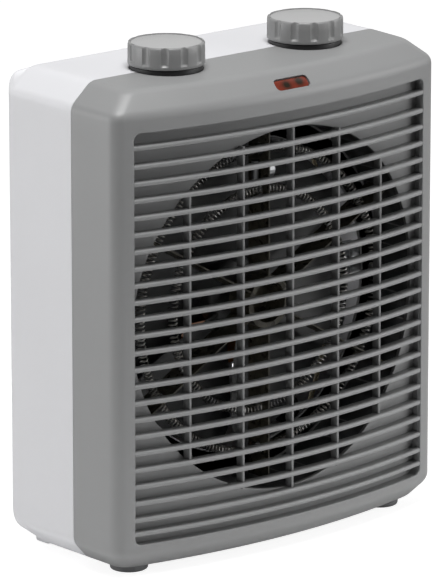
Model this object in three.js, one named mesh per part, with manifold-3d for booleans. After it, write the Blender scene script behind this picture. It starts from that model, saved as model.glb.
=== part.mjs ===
// Upright fan heater: two moulded housings, a bowed grille, two top knobs and an open-coil element.
// Millimetres. +X runs across the grille, +Y from the grille to the back, +Z up.
// The origin is on the floor, under the middle of the body.
import * as THREE from "three";
import { mergeVertices } from "three/addons/utils/BufferGeometryUtils.js";
import Module from "manifold-3d";

const wasm = await Module();
wasm.setup();

// ---- Driving dimensions: the body ----
const BODY_WIDTH = 220;
const BODY_DEPTH = 102;
const BODY_HEIGHT = 252.6;
const FOOT_HEIGHT = 3.4;
const WALL = 2.5;
const GAP = 0.3; // clearance between pieces that would touch
const BOW_RADIUS = 420; // the front face is bowed about a vertical axis
const FRONT_SHELL_DEPTH = 48.5; // crest of the bow to the seam
const FRONT_CORNER = 8; // radius of the upright corners
const REAR_CORNER = 5;
const EDGE_RADIUS = 7; // softening of the bevel creases
const TOP_FALL = 1.6; // the top slopes down this much towards the front
const SIDE_TOP = { inset: 13.2, height: 11.6 };
const SIDE_BOTTOM = { inset: 9.5, height: 10.6 };
const FRONT_TOP = { inset: 10.6, height: 11.6 };
const FRONT_BOTTOM = { inset: 9.5, height: 10.6 };
const REAR_TOP = { inset: 4, height: 4 };
const REAR_BOTTOM = { inset: 14, height: 24 };

// ---- Driving dimensions: the grille ----
const WINDOW_SIDE_MARGIN = 10.8;
const WINDOW_BOTTOM_MARGIN = 14.7; // body underside to the window
const WINDOW_TOP_MARGIN = 21; // window to the top of the body
const WINDOW_RADIUS = 4;
const SLAT_PITCH = 8.85;
const SLAT_THICKNESS = 2.3;
const SLAT_DEPTH = 6;
const SLAT_SETBACK = 0.2; // behind the frame round the window
const FIRST_SLAT_DROP = 8; // window top to the middle of the first slat
const FIRST_SLAT_PITCH = 9.8; // the top gap is a little wider than the rest
const LAST_SLAT_RISE = 5.8; // window bottom to the middle of the last slat
const PANEL_THICKNESS = 2;
const APERTURE_MARGIN = 3.2; // aperture to the nearest window edge
const APERTURE_RISE = 2.1; // aperture centre above the window's centre
const RIB_PITCH = 32.75;
const RIB_EDGE = 8; // the outermost ribs stay this far inside the aperture
const RIB_THICKNESS = 1.5;
const RIB_SETBACK = 2.6;
const FRAME_LIP = 2.5; // wall round the window pocket

// ---- Driving dimensions: knobs and controls ----
const KNOB_RADIUS = 20;
const KNOB_HEIGHT = 11.6;
const KNOB_SPACING = 95;
const KNOB_LIFT = 2.3; // top of the body to the knob's rim
const KNOB_SKIRT = 2;
const KNOB_HUB_RADIUS = 5.5;
const KNOB_FORWARD = 0.9; // knob axis in front of the seam
const FLUTE_COUNT = 12;
const FLUTE_RADIUS = 2.4;
const FLUTE_DEPTH = 1.1;
const FLUTE_LEDGE = 1.7; // knob rim to the foot of a flute
const SEAT_DEPTH = 2.8;
const SEAT_INSET = 0.8; // seat inside the knob's rim
const SPINDLE_RADIUS = 3;
const CONTROL = { width: 30, depth: 24, height: 17 };
const BRACKET_THICKNESS = 1.2;
const BRACKET_DROP = 5.4; // knob seat's floor to the bracket's underside
const LENS = { width: 22.4, height: 6.6, depth: 6, radius: 2.7, sink: 0.5, rise: 0.39 };
const LAMP_RADIUS = 2.4;
const LAMP_LENGTH = 12;

// ---- Driving dimensions: duct, element, fan and motor ----
const DUCT_WALL = 1.5;
const DUCT_CLEARANCE = 0.5; // duct bore beyond the aperture
const ORIFICE_STEP = 12; // duct bore to the fan's orifice
const FAN_TIP_GAP = 4;
const FAN_DEPTH = 18;
const SHAFT_NOSE = 4;
const FAN_HUB_RADIUS = 19;
const BLADE_COUNT = 6;
const BLADE_PITCH = THREE.MathUtils.degToRad(34);
const BLADE_THICKNESS = 2;
const SHAFT_RADIUS = 2.5;
const CARD_COUNT = 6;
const CARD_THICKNESS = 0.8;
const CARD_DEPTH = 16;
const ELEMENT_HUB_RADIUS = 14;
const COIL_WIRE_ENVELOPE = 3; // radius of the coiled wire
const COIL_INSETS = [16, 38]; // duct bore to the middle of each coil
const STACK_THICKNESS = 16;
const STACK = { width: 60, above: 28, below: 38, limb: 8 };
const WINDING_BUILD = 5; // copper beyond the laminations
const ROTOR_RADIUS = 13;
const BRIDGE_THICKNESS = 1.5;
const BRIDGE_HEIGHT = 18;
const WIRE_RADIUS = 1.3;

// ---- Driving dimensions: fasteners, back and feet ----
const SCREW_RADIUS = 1.75;
const SCREW_HEAD_RADIUS = 3.6;
const SCREW_HEAD_HEIGHT = 2.4;
const BOSS_RADIUS = 5.8;
const BOSS_SIDE_MARGIN = 12;
const BOSS_LOW = 16; // body underside to the lower casing screws
const BOSS_HIGH = 20; // casing screws to the top of the body
const INTAKE_SLOT = 6;
const INTAKE_PITCH = 11;
const INTAKE_BARS = 3;
const GRIP = { width: 84, height: 20, depth: 15, drop: 16 };
const GLAND_RADIUS = 5.7;
const GLAND_X = 80;
const GLAND_RISE = 36;
const FRONT_FOOT = { radius: 10.6, x: 87.5, fromSeam: 17.2 };
const REAR_FOOT = { width: 16, depth: 10.5, sideMargin: 15.5, backMargin: 2.5 };

// ---- Places worked out from the driving dimensions ----
const HALF_WIDTH = BODY_WIDTH / 2;
const FRONT_Y = -BODY_DEPTH / 2;
const REAR_Y = BODY_DEPTH / 2;
const SEAM_Y = FRONT_Y + FRONT_SHELL_DEPTH;
const BODY_TOP = FOOT_HEIGHT + BODY_HEIGHT;
const WINDOW_HALF = HALF_WIDTH - WINDOW_SIDE_MARGIN;
const WINDOW_LOW = FOOT_HEIGHT + WINDOW_BOTTOM_MARGIN;
const WINDOW_HIGH = BODY_TOP - WINDOW_TOP_MARGIN;
const PANEL_BACK = SLAT_DEPTH + PANEL_THICKNESS;
const AXIS_Z = (WINDOW_LOW + WINDOW_HIGH) / 2 + APERTURE_RISE;
const APERTURE_RADIUS =
  Math.min(WINDOW_HALF, (WINDOW_HIGH - WINDOW_LOW) / 2) - APERTURE_MARGIN;
const DUCT_RADIUS = APERTURE_RADIUS + DUCT_CLEARANCE;
const ORIFICE_RADIUS = DUCT_RADIUS - ORIFICE_STEP;
const FAN_RADIUS = ORIFICE_RADIUS - FAN_TIP_GAP;
const PLATE_Y = SEAM_Y - 6; // front of the duct's plate
const PLATE_BACK = PLATE_Y + DUCT_WALL;
const CARD_FRONT = bowY(DUCT_RADIUS, PANEL_BACK) + 2;
const FAN_FRONT = PLATE_Y + 0.5;
const CARD_BACK = Math.min(CARD_FRONT + CARD_DEPTH, FAN_FRONT - SHAFT_NOSE - 1);
const COIL_Y = (CARD_FRONT + CARD_BACK) / 2;
const FAN_BACK = FAN_FRONT + FAN_DEPTH;
const BRIDGE_Y = FAN_BACK + 3;
const STACK_FRONT = BRIDGE_Y + BRIDGE_THICKNESS + 3;
const STACK_BACK = STACK_FRONT + STACK_THICKNESS;
const CAP_Y = STACK_BACK + 3;
const SEAT_FLOOR = BODY_TOP - SEAT_DEPTH;
const KNOB_Y = SEAM_Y - KNOB_FORWARD;
const KNOB_BASE = BODY_TOP + KNOB_LIFT;
const BRACKET_Z = SEAT_FLOOR - BRACKET_DROP - BRACKET_THICKNESS;
const CONTROL_TOP = BRACKET_Z - GAP;
const LOW_BOSS_Z = FOOT_HEIGHT + BOSS_LOW;
const HIGH_BOSS_Z = BODY_TOP - BOSS_HIGH;
const BOSS_X = HALF_WIDTH - BOSS_SIDE_MARGIN;
const HEAD_Y = SEAM_Y + 20; // seat of the casing screws' heads
const GRIP_HIGH = BODY_TOP - GRIP.drop;
const GRIP_LOW = GRIP_HIGH - GRIP.height;

// ---- Materials ----
const plastic = (color) => new THREE.MeshStandardMaterial({ color, roughness: 0.5, metalness: 0 });
const metal = (color) => new THREE.MeshStandardMaterial({ color, roughness: 0.35, metalness: 1 });
const GREY_PLASTIC = plastic(0x818384);
const WHITE_PLASTIC = plastic(0xe9e9ec);
const BLACK_PLASTIC = plastic(0x1a1b1c);
const AMBER_LENS = plastic(0x8c2f1c);
const LAMP_GLASS = plastic(0xe8b090);
const CREAM_SLEEVE = plastic(0xe3d3b2);
const MICA = plastic(0xb8a888);
const STEEL = metal(0xb4b8bb);
const DARK_STEEL = metal(0x4a4d50);
const COPPER = metal(0xb06a3c);

// ---- Shape helpers ----
function solid(geometry) {
  const bare = new THREE.BufferGeometry();
  bare.setAttribute("position", geometry.getAttribute("position"));
  bare.setIndex(geometry.index);
  const merged = mergeVertices(bare, 1e-4);
  const triVerts = [];
  for (let i = 0; i < merged.index.count; i += 3) {
    const [a, b, c] = [0, 1, 2].map((k) => merged.index.getX(i + k));
    if (a !== b && b !== c && c !== a) triVerts.push(a, b, c);
  }
  return new wasm.Manifold(
    new wasm.Mesh({
      numProp: 3,
      vertProperties: new Float32Array(merged.attributes.position.array),
      triVerts: new Uint32Array(triVerts),
    }),
  );
}

function geometryOf(made) {
  const mesh = made.getMesh();
  const geometry = new THREE.BufferGeometry();
  const points = new THREE.BufferAttribute(new Float32Array(mesh.vertProperties), 3);
  geometry.setAttribute("position", points);
  geometry.setIndex(new THREE.BufferAttribute(new Uint32Array(mesh.triVerts), 1));
  geometry.computeVertexNormals();
  return geometry;
}

const joined = (...pieces) => pieces.reduce((whole, piece) => whole.add(piece));
const cut = (whole, ...tools) => tools.reduce((left, tool) => left.subtract(tool), whole);

function box(x, y, z) {
  const geometry = new THREE.BoxGeometry(x[1] - x[0], y[1] - y[0], z[1] - z[0]);
  geometry.translate((x[0] + x[1]) / 2, (y[0] + y[1]) / 2, (z[0] + z[1]) / 2);
  return solid(geometry);
}

function rodY(radius, y, x = 0, z = 0, sides = 16) {
  const geometry = new THREE.CylinderGeometry(radius, radius, y[1] - y[0], sides);
  geometry.translate(x, (y[0] + y[1]) / 2, z);
  return solid(geometry);
}

function rodZ(radius, z, x = 0, y = 0, sides = 16) {
  const geometry = new THREE.CylinderGeometry(radius, radius, z[1] - z[0], sides);
  geometry.rotateX(Math.PI / 2).translate(x, y, (z[0] + z[1]) / 2);
  return solid(geometry);
}

function slabZ(outline, z) {
  const shape = new THREE.Shape(outline);
  const geometry = new THREE.ExtrudeGeometry(shape, { depth: z[1] - z[0], bevelEnabled: false });
  geometry.translate(0, 0, z[0]);
  return solid(geometry);
}

function slabY(outline, y) {
  const shape = new THREE.Shape(outline);
  const geometry = new THREE.ExtrudeGeometry(shape, { depth: y[1] - y[0], bevelEnabled: false });
  geometry.rotateX(Math.PI / 2).translate(0, y[1], 0);
  return solid(geometry);
}

function tube(points, radius, sides = 6) {
  const path = new THREE.CatmullRomCurve3(points.map((p) => new THREE.Vector3(...p)));
  const section = new THREE.Shape().absarc(0, 0, radius, 0, 2 * Math.PI);
  const options = { extrudePath: path, steps: 4 * points.length, curveSegments: sides / 2 };
  return solid(new THREE.ExtrudeGeometry(section, options));
}

function roundedRectangle(halfWidth, low, high, radius) {
  const arc = (x, z, from) =>
    new THREE.Path().absarc(x, z, radius, from, from + Math.PI / 2).getPoints(4);
  return [
    ...arc(halfWidth - radius, low + radius, -Math.PI / 2),
    ...arc(halfWidth - radius, high - radius, 0),
    ...arc(-halfWidth + radius, high - radius, Math.PI / 2),
    ...arc(-halfWidth + radius, low + radius, Math.PI),
  ];
}

// The front face's curve in plan, set back by depth.
function bowY(x, depth) {
  return FRONT_Y + BOW_RADIUS - Math.sqrt((BOW_RADIUS - depth) ** 2 - x * x);
}

// A slab that follows the bow between two depths behind the front face.
function bowedSlab(halfWidth, z, depths, steps = 8) {
  const stations = Array.from({ length: steps + 1 }, (_, i) => (2 * i) / steps - 1);
  const edge = (depth) =>
    stations.map((s) => new THREE.Vector2(s * halfWidth, bowY(s * halfWidth, depth)));
  return slabZ([...edge(depths[0]), ...edge(depths[1]).reverse()], z);
}

// ---- Housings ----
// A housing is a stack of plan outlines. Each edge profile says how far the wall leans in and how
// high that outline lies; the side's profile blends into the face's profile round the corners.
function edgeProfile(bottom, top, wall) {
  const turn = (edge) => Math.atan2(edge.inset, edge.height) / 2;
  const flat = (edge) => Math.PI / 4 - turn(edge);
  const low = FOOT_HEIGHT + wall;
  const high = BODY_TOP - wall;
  const run = 1.2 * EDGE_RADIUS;
  const lowInset = bottom.inset + wall * Math.tan(flat(bottom));
  const highInset = top.inset + wall * Math.tan(flat(top));
  const corners = [
    [lowInset + run, low],
    [lowInset, low],
    [wall, FOOT_HEIGHT + bottom.height + wall * Math.tan(turn(bottom))],
    [wall, BODY_TOP - top.height - wall * Math.tan(turn(top))],
    [highInset, high],
    [highInset + run, high],
  ].map(([inset, z]) => new THREE.Vector2(inset, z));
  return softened(corners, EDGE_RADIUS, wall ? 1 : 3);
}

function softened(corners, radius, steps) {
  const points = [corners[0]];
  for (let i = 1; i < corners.length - 1; i++) {
    const before = corners[i - 1].clone().sub(corners[i]);
    const after = corners[i + 1].clone().sub(corners[i]);
    const reach = Math.min(radius / 2, before.length() * 0.45, after.length() * 0.45);
    const start = corners[i].clone().addScaledVector(before.normalize(), reach);
    const end = corners[i].clone().addScaledVector(after.normalize(), reach);
    points.push(...new THREE.QuadraticBezierCurve(start, corners[i], end).getPoints(steps));
  }
  points.push(corners[corners.length - 1]);
  return points;
}

// Half of the front housing's plan, from the crest to the seam, as points with outward normals.
function frontPlan(sideInset, faceInset, radius, seamY) {
  const half = HALF_WIDTH - sideInset;
  const bow = BOW_RADIUS - faceInset;
  const middle = FRONT_Y + BOW_RADIUS;
  const cornerX = half - radius;
  const cornerY = middle - Math.sqrt((bow - radius) ** 2 - cornerX ** 2);
  const tangent = Math.atan2(cornerY - middle, cornerX);
  const points = [];
  for (let i = 0; i <= 8; i++) {
    const angle = -Math.PI / 2 + ((tangent + Math.PI / 2) * i) / 8;
    points.push({ x: bow * Math.cos(angle), y: middle + bow * Math.sin(angle), angle });
  }
  for (let i = 1; i <= 6; i++) {
    const angle = tangent * (1 - i / 6);
    points.push({
      x: cornerX + radius * Math.cos(angle),
      y: cornerY + radius * Math.sin(angle),
      angle,
    });
  }
  points.push({ x: half, y: seamY, angle: 0 });
  return points;
}

// Half of the rear housing's plan, from the middle of the back to the seam.
function rearPlan(sideInset, faceInset, radius, seamY) {
  const half = HALF_WIDTH - sideInset;
  const back = REAR_Y - faceInset;
  const points = [{ x: 0, y: back, angle: Math.PI / 2 }];
  for (let i = 0; i <= 6; i++) {
    const angle = (Math.PI / 2) * (1 - i / 6);
    points.push({
      x: half - radius + radius * Math.cos(angle),
      y: back - radius + radius * Math.sin(angle),
      angle,
    });
  }
  points.push({ x: half, y: seamY, angle: 0 });
  return points;
}

function topFall(y, z) {
  const forward = THREE.MathUtils.clamp((SEAM_Y - y) / (SEAM_Y - FRONT_Y), 0, 1);
  const bevelFoot = BODY_TOP - SIDE_TOP.height;
  const upward = THREE.MathUtils.clamp((z - bevelFoot) / SIDE_TOP.height, 0, 1);
  return TOP_FALL * forward * upward;
}

function housingSolid(plan, side, face, radius, seamY) {
  const rings = side.map((edge, i) => {
    const half = plan(edge.x, face[i].x, radius, seamY);
    const lifted = half.map(({ x, y, angle }) => {
      const weight = Math.sin(angle) ** 2;
      const z = edge.y * (1 - weight) + face[i].y * weight;
      return [x, y, z - topFall(y, z)];
    });
    const mirrored = lifted
      .slice(1)
      .reverse()
      .map(([x, y, z]) => [-x, y, z]);
    const ring = [...mirrored, ...lifted];
    return plan === rearPlan ? ring.reverse() : ring;
  });
  return loft(rings);
}

function loft(rings) {
  const count = rings[0].length;
  const index = [];
  for (let i = 0; i + 1 < rings.length; i++) {
    for (let j = 0; j < count; j++) {
      const a = i * count + j;
      const b = i * count + ((j + 1) % count);
      index.push(a, b, b + count, a, b + count, a + count);
    }
  }
  const last = (rings.length - 1) * count;
  const flat = (ring) => ring.map(([x, y]) => new THREE.Vector2(x, y));
  for (const [a, b, c] of THREE.ShapeUtils.triangulateShape(flat(rings[0]), [])) {
    index.push(c, b, a);
  }
  for (const [a, b, c] of THREE.ShapeUtils.triangulateShape(flat(rings[rings.length - 1]), [])) {
    index.push(last + a, last + b, last + c);
  }
  const geometry = new THREE.BufferGeometry();
  const positions = new THREE.Float32BufferAttribute(rings.flat(2), 3);
  geometry.setAttribute("position", positions);
  geometry.setIndex(index);
  return solid(geometry);
}

function hollowHousing(plan, corner, faceBottom, faceTop, seamY, openY) {
  const outer = housingSolid(
    plan,
    edgeProfile(SIDE_BOTTOM, SIDE_TOP, 0),
    edgeProfile(faceBottom, faceTop, 0),
    corner,
    seamY,
  );
  const inner = housingSolid(
    plan,
    edgeProfile(SIDE_BOTTOM, SIDE_TOP, WALL),
    edgeProfile(faceBottom, faceTop, WALL),
    corner, // not reduced by the wall, which keeps the wall's full thickness in the corners
    openY,
  );
  return { outer, shell: cut(outer, inner) };
}

const KNOB_XS = [-KNOB_SPACING / 2, KNOB_SPACING / 2];
const SEAT_RADIUS = KNOB_RADIUS - SEAT_INSET;
const CASING_SCREWS = [
  [-BOSS_X, LOW_BOSS_Z],
  [BOSS_X, LOW_BOSS_Z],
  [-BOSS_X, HIGH_BOSS_Z],
  [BOSS_X, HIGH_BOSS_Z],
];
const DUCT_SCREW_X = Math.min(BOSS_X - 10, WINDOW_HALF - 8);
const DUCT_SCREW_RISE = Math.sqrt((DUCT_RADIUS + 12) ** 2 - DUCT_SCREW_X ** 2) + 8;
const DUCT_SCREWS = [-1, 1].flatMap((sx) =>
  [-1, 1].map((sz) => [sx * DUCT_SCREW_X, AXIS_Z + sz * DUCT_SCREW_RISE]),
);
const BRACKET_SCREW_X = KNOB_SPACING / 2 + CONTROL.width / 2 + 14;
const BRACKET_SCREW_Y = SEAM_Y - 8;

// Floors of the two knob seats, and the pockets that are cut down to them.
const seatBlocks = () =>
  KNOB_XS.map((x) => rodZ(SEAT_RADIUS + WALL, [SEAT_FLOOR - WALL, BODY_TOP - 1.2], x, KNOB_Y, 40));
const seatPockets = () =>
  KNOB_XS.flatMap((x) => [
    rodZ(SEAT_RADIUS, [SEAT_FLOOR, BODY_TOP + 1], x, KNOB_Y, 40),
    rodZ(KNOB_HUB_RADIUS + 0.7, [SEAT_FLOOR - WALL - 1, SEAT_FLOOR + 1], x, KNOB_Y),
  ]);

// Middle of the indicator on the front bevel, and its outward tilt from straight up.
const BEVEL_TILT = Math.atan2(FRONT_TOP.height - TOP_FALL, FRONT_TOP.inset);
const LENS_PLACE = new THREE.Matrix4()
  .makeTranslation(
    0,
    FRONT_Y + FRONT_TOP.inset * LENS.rise,
    BODY_TOP - FRONT_TOP.height + (FRONT_TOP.height - TOP_FALL) * LENS.rise,
  )
  .multiply(new THREE.Matrix4().makeRotationX(BEVEL_TILT));

function lensBar(clearance, z) {
  const half = LENS.height / 2 + clearance;
  const outline = roundedRectangle(LENS.width / 2 + clearance, -half, half, LENS.radius);
  const shape = new THREE.Shape(outline);
  const geometry = new THREE.ExtrudeGeometry(shape, { depth: z[1] - z[0], bevelEnabled: false });
  geometry.translate(0, 0, z[0]).applyMatrix4(LENS_PLACE);
  return solid(geometry);
}

function slatHeights() {
  const heights = [WINDOW_HIGH - FIRST_SLAT_DROP];
  const last = WINDOW_LOW + LAST_SLAT_RISE;
  for (let z = heights[0] - FIRST_SLAT_PITCH; z > last + SLAT_PITCH / 2; z -= SLAT_PITCH) {
    heights.push(z);
  }
  heights.push(last);
  return heights;
}

function grille() {
  const reach = WINDOW_HALF + 0.5;
  const half = SLAT_THICKNESS / 2;
  const depths = [SLAT_SETBACK, SLAT_DEPTH + 0.5];
  const slats = slatHeights().map((z) => bowedSlab(reach, [z - half, z + half], depths));
  const circle = rodY(APERTURE_RADIUS + 0.6, [FRONT_Y - 1, SEAM_Y], 0, AXIS_Z, 48);
  const field = bowedSlab(WINDOW_HALF, [WINDOW_LOW, WINDOW_HIGH], [RIB_SETBACK, PANEL_BACK - 0.4]);
  const ribsPerSide = Math.floor((APERTURE_RADIUS - RIB_EDGE) / RIB_PITCH);
  const ribs = Array.from({ length: 2 * ribsPerSide + 1 }, (_, i) => {
    const x = (i - ribsPerSide) * RIB_PITCH;
    const sides = [x - RIB_THICKNESS / 2, x + RIB_THICKNESS / 2];
    return box(sides, [FRONT_Y, SEAM_Y], [WINDOW_LOW, WINDOW_HIGH]);
  });
  return joined(...slats, joined(...ribs).intersect(circle).intersect(field));
}

function frontFeet() {
  const y = SEAM_Y - FRONT_FOOT.fromSeam;
  return [-1, 1].map((s) =>
    rodZ(FRONT_FOOT.radius, [0, FOOT_HEIGHT + WALL - 0.5], s * FRONT_FOOT.x, y, 32),
  );
}

function frontHousing() {
  const faces = [FRONT_BOTTOM, FRONT_TOP];
  const { outer, shell } = hollowHousing(frontPlan, FRONT_CORNER, ...faces, SEAM_Y, SEAM_Y + 5);
  const lipZ = [WINDOW_LOW - FRAME_LIP, WINDOW_HIGH + FRAME_LIP];
  const frame = bowedSlab(WINDOW_HALF + FRAME_LIP, lipZ, [0.5, PANEL_BACK]);
  const casingBosses = CASING_SCREWS.map(([x, z]) =>
    rodY(BOSS_RADIUS, [bowY(x, PANEL_BACK - 1), SEAM_Y], x, z),
  );
  const ductBosses = DUCT_SCREWS.map(([x, z]) =>
    rodY(4, [bowY(x, PANEL_BACK - 1), PLATE_Y - GAP], x, z),
  );
  const bracketBosses = [-1, 1].map((s) =>
    rodZ(4, [BRACKET_Z + BRACKET_THICKNESS + GAP, BODY_TOP - 2], s * BRACKET_SCREW_X, BRACKET_SCREW_Y),
  );
  const inFront = box([-HALF_WIDTH, HALF_WIDTH], [FRONT_Y, SEAM_Y], [0, BODY_TOP + 5]);
  const fittings = joined(frame, ...casingBosses, ...ductBosses, ...bracketBosses, ...seatBlocks());
  const body = joined(shell, fittings.intersect(outer).intersect(inFront), ...frontFeet());
  const opening = slabY(
    roundedRectangle(WINDOW_HALF, WINDOW_LOW, WINDOW_HIGH, WINDOW_RADIUS),
    [FRONT_Y - 1, SEAM_Y],
  );
  const pocket = bowedSlab(WINDOW_HALF + 1, [WINDOW_LOW - 1, WINDOW_HIGH + 1], [-1, SLAT_DEPTH]);
  const holes = [
    ...CASING_SCREWS.map(([x, z]) => rodY(SCREW_RADIUS + GAP, [SEAM_Y - 24, SEAM_Y + 1], x, z)),
    ...DUCT_SCREWS.map(([x, z]) => rodY(SCREW_RADIUS + GAP, [PLATE_Y - 9, PLATE_Y], x, z)),
    ...[-1, 1].map((s) =>
      rodZ(SCREW_RADIUS + GAP, [BRACKET_Z, SEAT_FLOOR - 0.5], s * BRACKET_SCREW_X, BRACKET_SCREW_Y),
    ),
  ];
  const opened = cut(
    body,
    opening.intersect(pocket),
    rodY(APERTURE_RADIUS, [FRONT_Y - 1, PLATE_Y], 0, AXIS_Z, 48),
    lensBar(GAP, [-LENS.depth - 2, 3]),
    ...seatPockets(),
    ...holes,
  );
  return joined(opened, grille());
}

function intakeSlots() {
  const reach = ORIFICE_RADIUS - 4;
  const rows = Math.floor((2 * reach) / INTAKE_PITCH);
  const field = rodY(reach, [REAR_Y - 10, REAR_Y + 5], 0, AXIS_Z, 48);
  const bars = Array.from({ length: INTAKE_BARS }, (_, i) => {
    const x = ((i + 1) / (INTAKE_BARS + 1) - 0.5) * 2 * reach;
    return box([x - 2, x + 2], [REAR_Y - 10, REAR_Y + 5], [AXIS_Z - reach, AXIS_Z + reach]);
  });
  const slots = Array.from({ length: rows }, (_, i) => {
    const z = AXIS_Z + (i - (rows - 1) / 2) * INTAKE_PITCH;
    const height = [z - INTAKE_SLOT / 2, z + INTAKE_SLOT / 2];
    return box([-reach, reach], [REAR_Y - 9, REAR_Y + 4], height);
  });
  return cut(joined(...slots).intersect(field), ...bars);
}

function rearFeet() {
  const high = FOOT_HEIGHT + REAR_BOTTOM.height * 0.6;
  const back = REAR_Y - REAR_FOOT.backMargin;
  return [-1, 1].map((s) => {
    const outside = HALF_WIDTH - REAR_FOOT.sideMargin;
    const x = [outside - REAR_FOOT.width, outside].map((v) => s * v).sort((a, b) => a - b);
    return box(x, [back - REAR_FOOT.depth, back], [0, high]);
  });
}

function rearHousing() {
  const seam = SEAM_Y + GAP;
  const faces = [REAR_BOTTOM, REAR_TOP];
  const { outer, shell } = hollowHousing(rearPlan, REAR_CORNER, ...faces, seam, seam - 5);
  const bosses = CASING_SCREWS.map(([x, z]) => rodY(BOSS_RADIUS, [seam, REAR_Y - 1], x, z));
  const behind = box([-HALF_WIDTH, HALF_WIDTH], [seam, REAR_Y], [0, BODY_TOP + 5]);
  const gripWall = box(
    [-GRIP.width / 2 - WALL, GRIP.width / 2 + WALL],
    [REAR_Y - GRIP.depth - WALL, REAR_Y - 1],
    [GRIP_LOW - WALL, GRIP_HIGH + WALL],
  );
  const fittings = joined(gripWall, ...bosses, ...seatBlocks());
  const inside = box(
    [-HALF_WIDTH, HALF_WIDTH],
    [seam - 5, REAR_Y],
    [FOOT_HEIGHT + REAR_BOTTOM.height * 0.6 - 2, BODY_TOP],
  );
  const feet = rearFeet().map((foot) => cut(foot, inside));
  const body = joined(shell, fittings.intersect(outer).intersect(behind), ...feet);
  const screwWays = CASING_SCREWS.flatMap(([x, z]) => [
    rodY(SCREW_RADIUS + GAP, [SEAM_Y, HEAD_Y + 1], x, z),
    rodY(SCREW_HEAD_RADIUS + 0.6, [HEAD_Y, REAR_Y + 1], x, z),
  ]);
  const grip = box(
    [-GRIP.width / 2, GRIP.width / 2],
    [REAR_Y - GRIP.depth, REAR_Y + 1],
    [GRIP_LOW, GRIP_HIGH],
  );
  const cordHole = rodY(GLAND_RADIUS + GAP, [REAR_Y - 8, REAR_Y + 1], GLAND_X, FOOT_HEIGHT + GLAND_RISE);
  return cut(body, intakeSlots(), grip, cordHole, ...seatPockets(), ...screwWays);
}

// ---- Top controls ----
function knob() {
  const radius = KNOB_RADIUS;
  const top = KNOB_HEIGHT;
  const profile = [
    [0, top - 3.2],
    [0, top],
    [radius - 1.8, top],
    [radius - 0.5, top - 0.5],
    [radius - 0.2, top - 1.6],
    [radius, 0.5],
    [radius - 0.4, 0],
    [radius - KNOB_SKIRT, 0],
    [radius - KNOB_SKIRT, top - KNOB_SKIRT],
    [KNOB_HUB_RADIUS, top - KNOB_SKIRT],
    [KNOB_HUB_RADIUS, -KNOB_LIFT - SEAT_DEPTH + 0.8],
    [SPINDLE_RADIUS + GAP, -KNOB_LIFT - SEAT_DEPTH + 0.8],
    [SPINDLE_RADIUS + GAP, top - 3.2],
    [0, top - 3.2],
  ].map(([x, y]) => new THREE.Vector2(x, y));
  const turned = solid(new THREE.LatheGeometry(profile.reverse(), 36).rotateX(Math.PI / 2));
  const flutes = Array.from({ length: FLUTE_COUNT }, (_, i) => {
    const angle = ((i + 0.4) / FLUTE_COUNT) * 2 * Math.PI;
    const reach = radius + FLUTE_RADIUS - FLUTE_DEPTH;
    const place = [reach * Math.cos(angle), reach * Math.sin(angle)];
    return rodZ(FLUTE_RADIUS, [FLUTE_LEDGE, top + 1], ...place, 10);
  });
  return cut(turned, ...flutes);
}

const knobCollar = () =>
  cut(
    rodZ(SEAT_RADIUS - GAP, [GAP, SEAT_DEPTH + KNOB_LIFT - GAP], 0, 0, 40),
    rodZ(KNOB_HUB_RADIUS + 0.7, [-1, SEAT_DEPTH + KNOB_LIFT + 1]),
  );

// A spindle and its control body share the height at which the spindle enters the body.
const SPINDLE_TOP = KNOB_BASE + KNOB_HEIGHT - 3.2 - GAP;
const SPINDLE_FOOT = CONTROL_TOP - 8;
const spindle = () => rodZ(SPINDLE_RADIUS, [0, SPINDLE_TOP - SPINDLE_FOOT], 0, 0, 20);

function controlBody(tabs) {
  const block = box(
    [-CONTROL.width / 2, CONTROL.width / 2],
    [-CONTROL.depth / 2, CONTROL.depth / 2],
    [-CONTROL.height, 0],
  );
  const blades = Array.from({ length: tabs }, (_, i) => {
    const x = (i - (tabs - 1) / 2) * 8;
    return box([x - 2.4, x + 2.4], [CONTROL.depth / 2 - 1, CONTROL.depth / 2 + 6], [-9, -8.2]);
  });
  return cut(joined(block, ...blades), rodZ(SPINDLE_RADIUS + GAP, [-8 - GAP, 1]));
}

function controlBracket() {
  const plate = box(
    [-BRACKET_SCREW_X - 6, BRACKET_SCREW_X + 6],
    [BRACKET_SCREW_Y - 6, KNOB_Y + CONTROL.depth / 2],
    [BRACKET_Z, BRACKET_Z + BRACKET_THICKNESS],
  );
  const z = [BRACKET_Z - 1, BRACKET_Z + 3];
  const spindleHoles = KNOB_XS.map((x) => rodZ(SPINDLE_RADIUS + 1, z, x, KNOB_Y));
  const screwHoles = [-1, 1].map((s) =>
    rodZ(SCREW_RADIUS + GAP, z, s * BRACKET_SCREW_X, BRACKET_SCREW_Y),
  );
  return cut(plate, ...spindleHoles, ...screwHoles);
}

const lamp = () => {
  const glass = new THREE.CapsuleGeometry(LAMP_RADIUS, LAMP_LENGTH - 2 * LAMP_RADIUS, 4, 12);
  glass.rotateZ(Math.PI / 2).translate(0, 0, -LENS.depth - LAMP_RADIUS - GAP);
  return solid(glass.applyMatrix4(LENS_PLACE));
};

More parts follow.
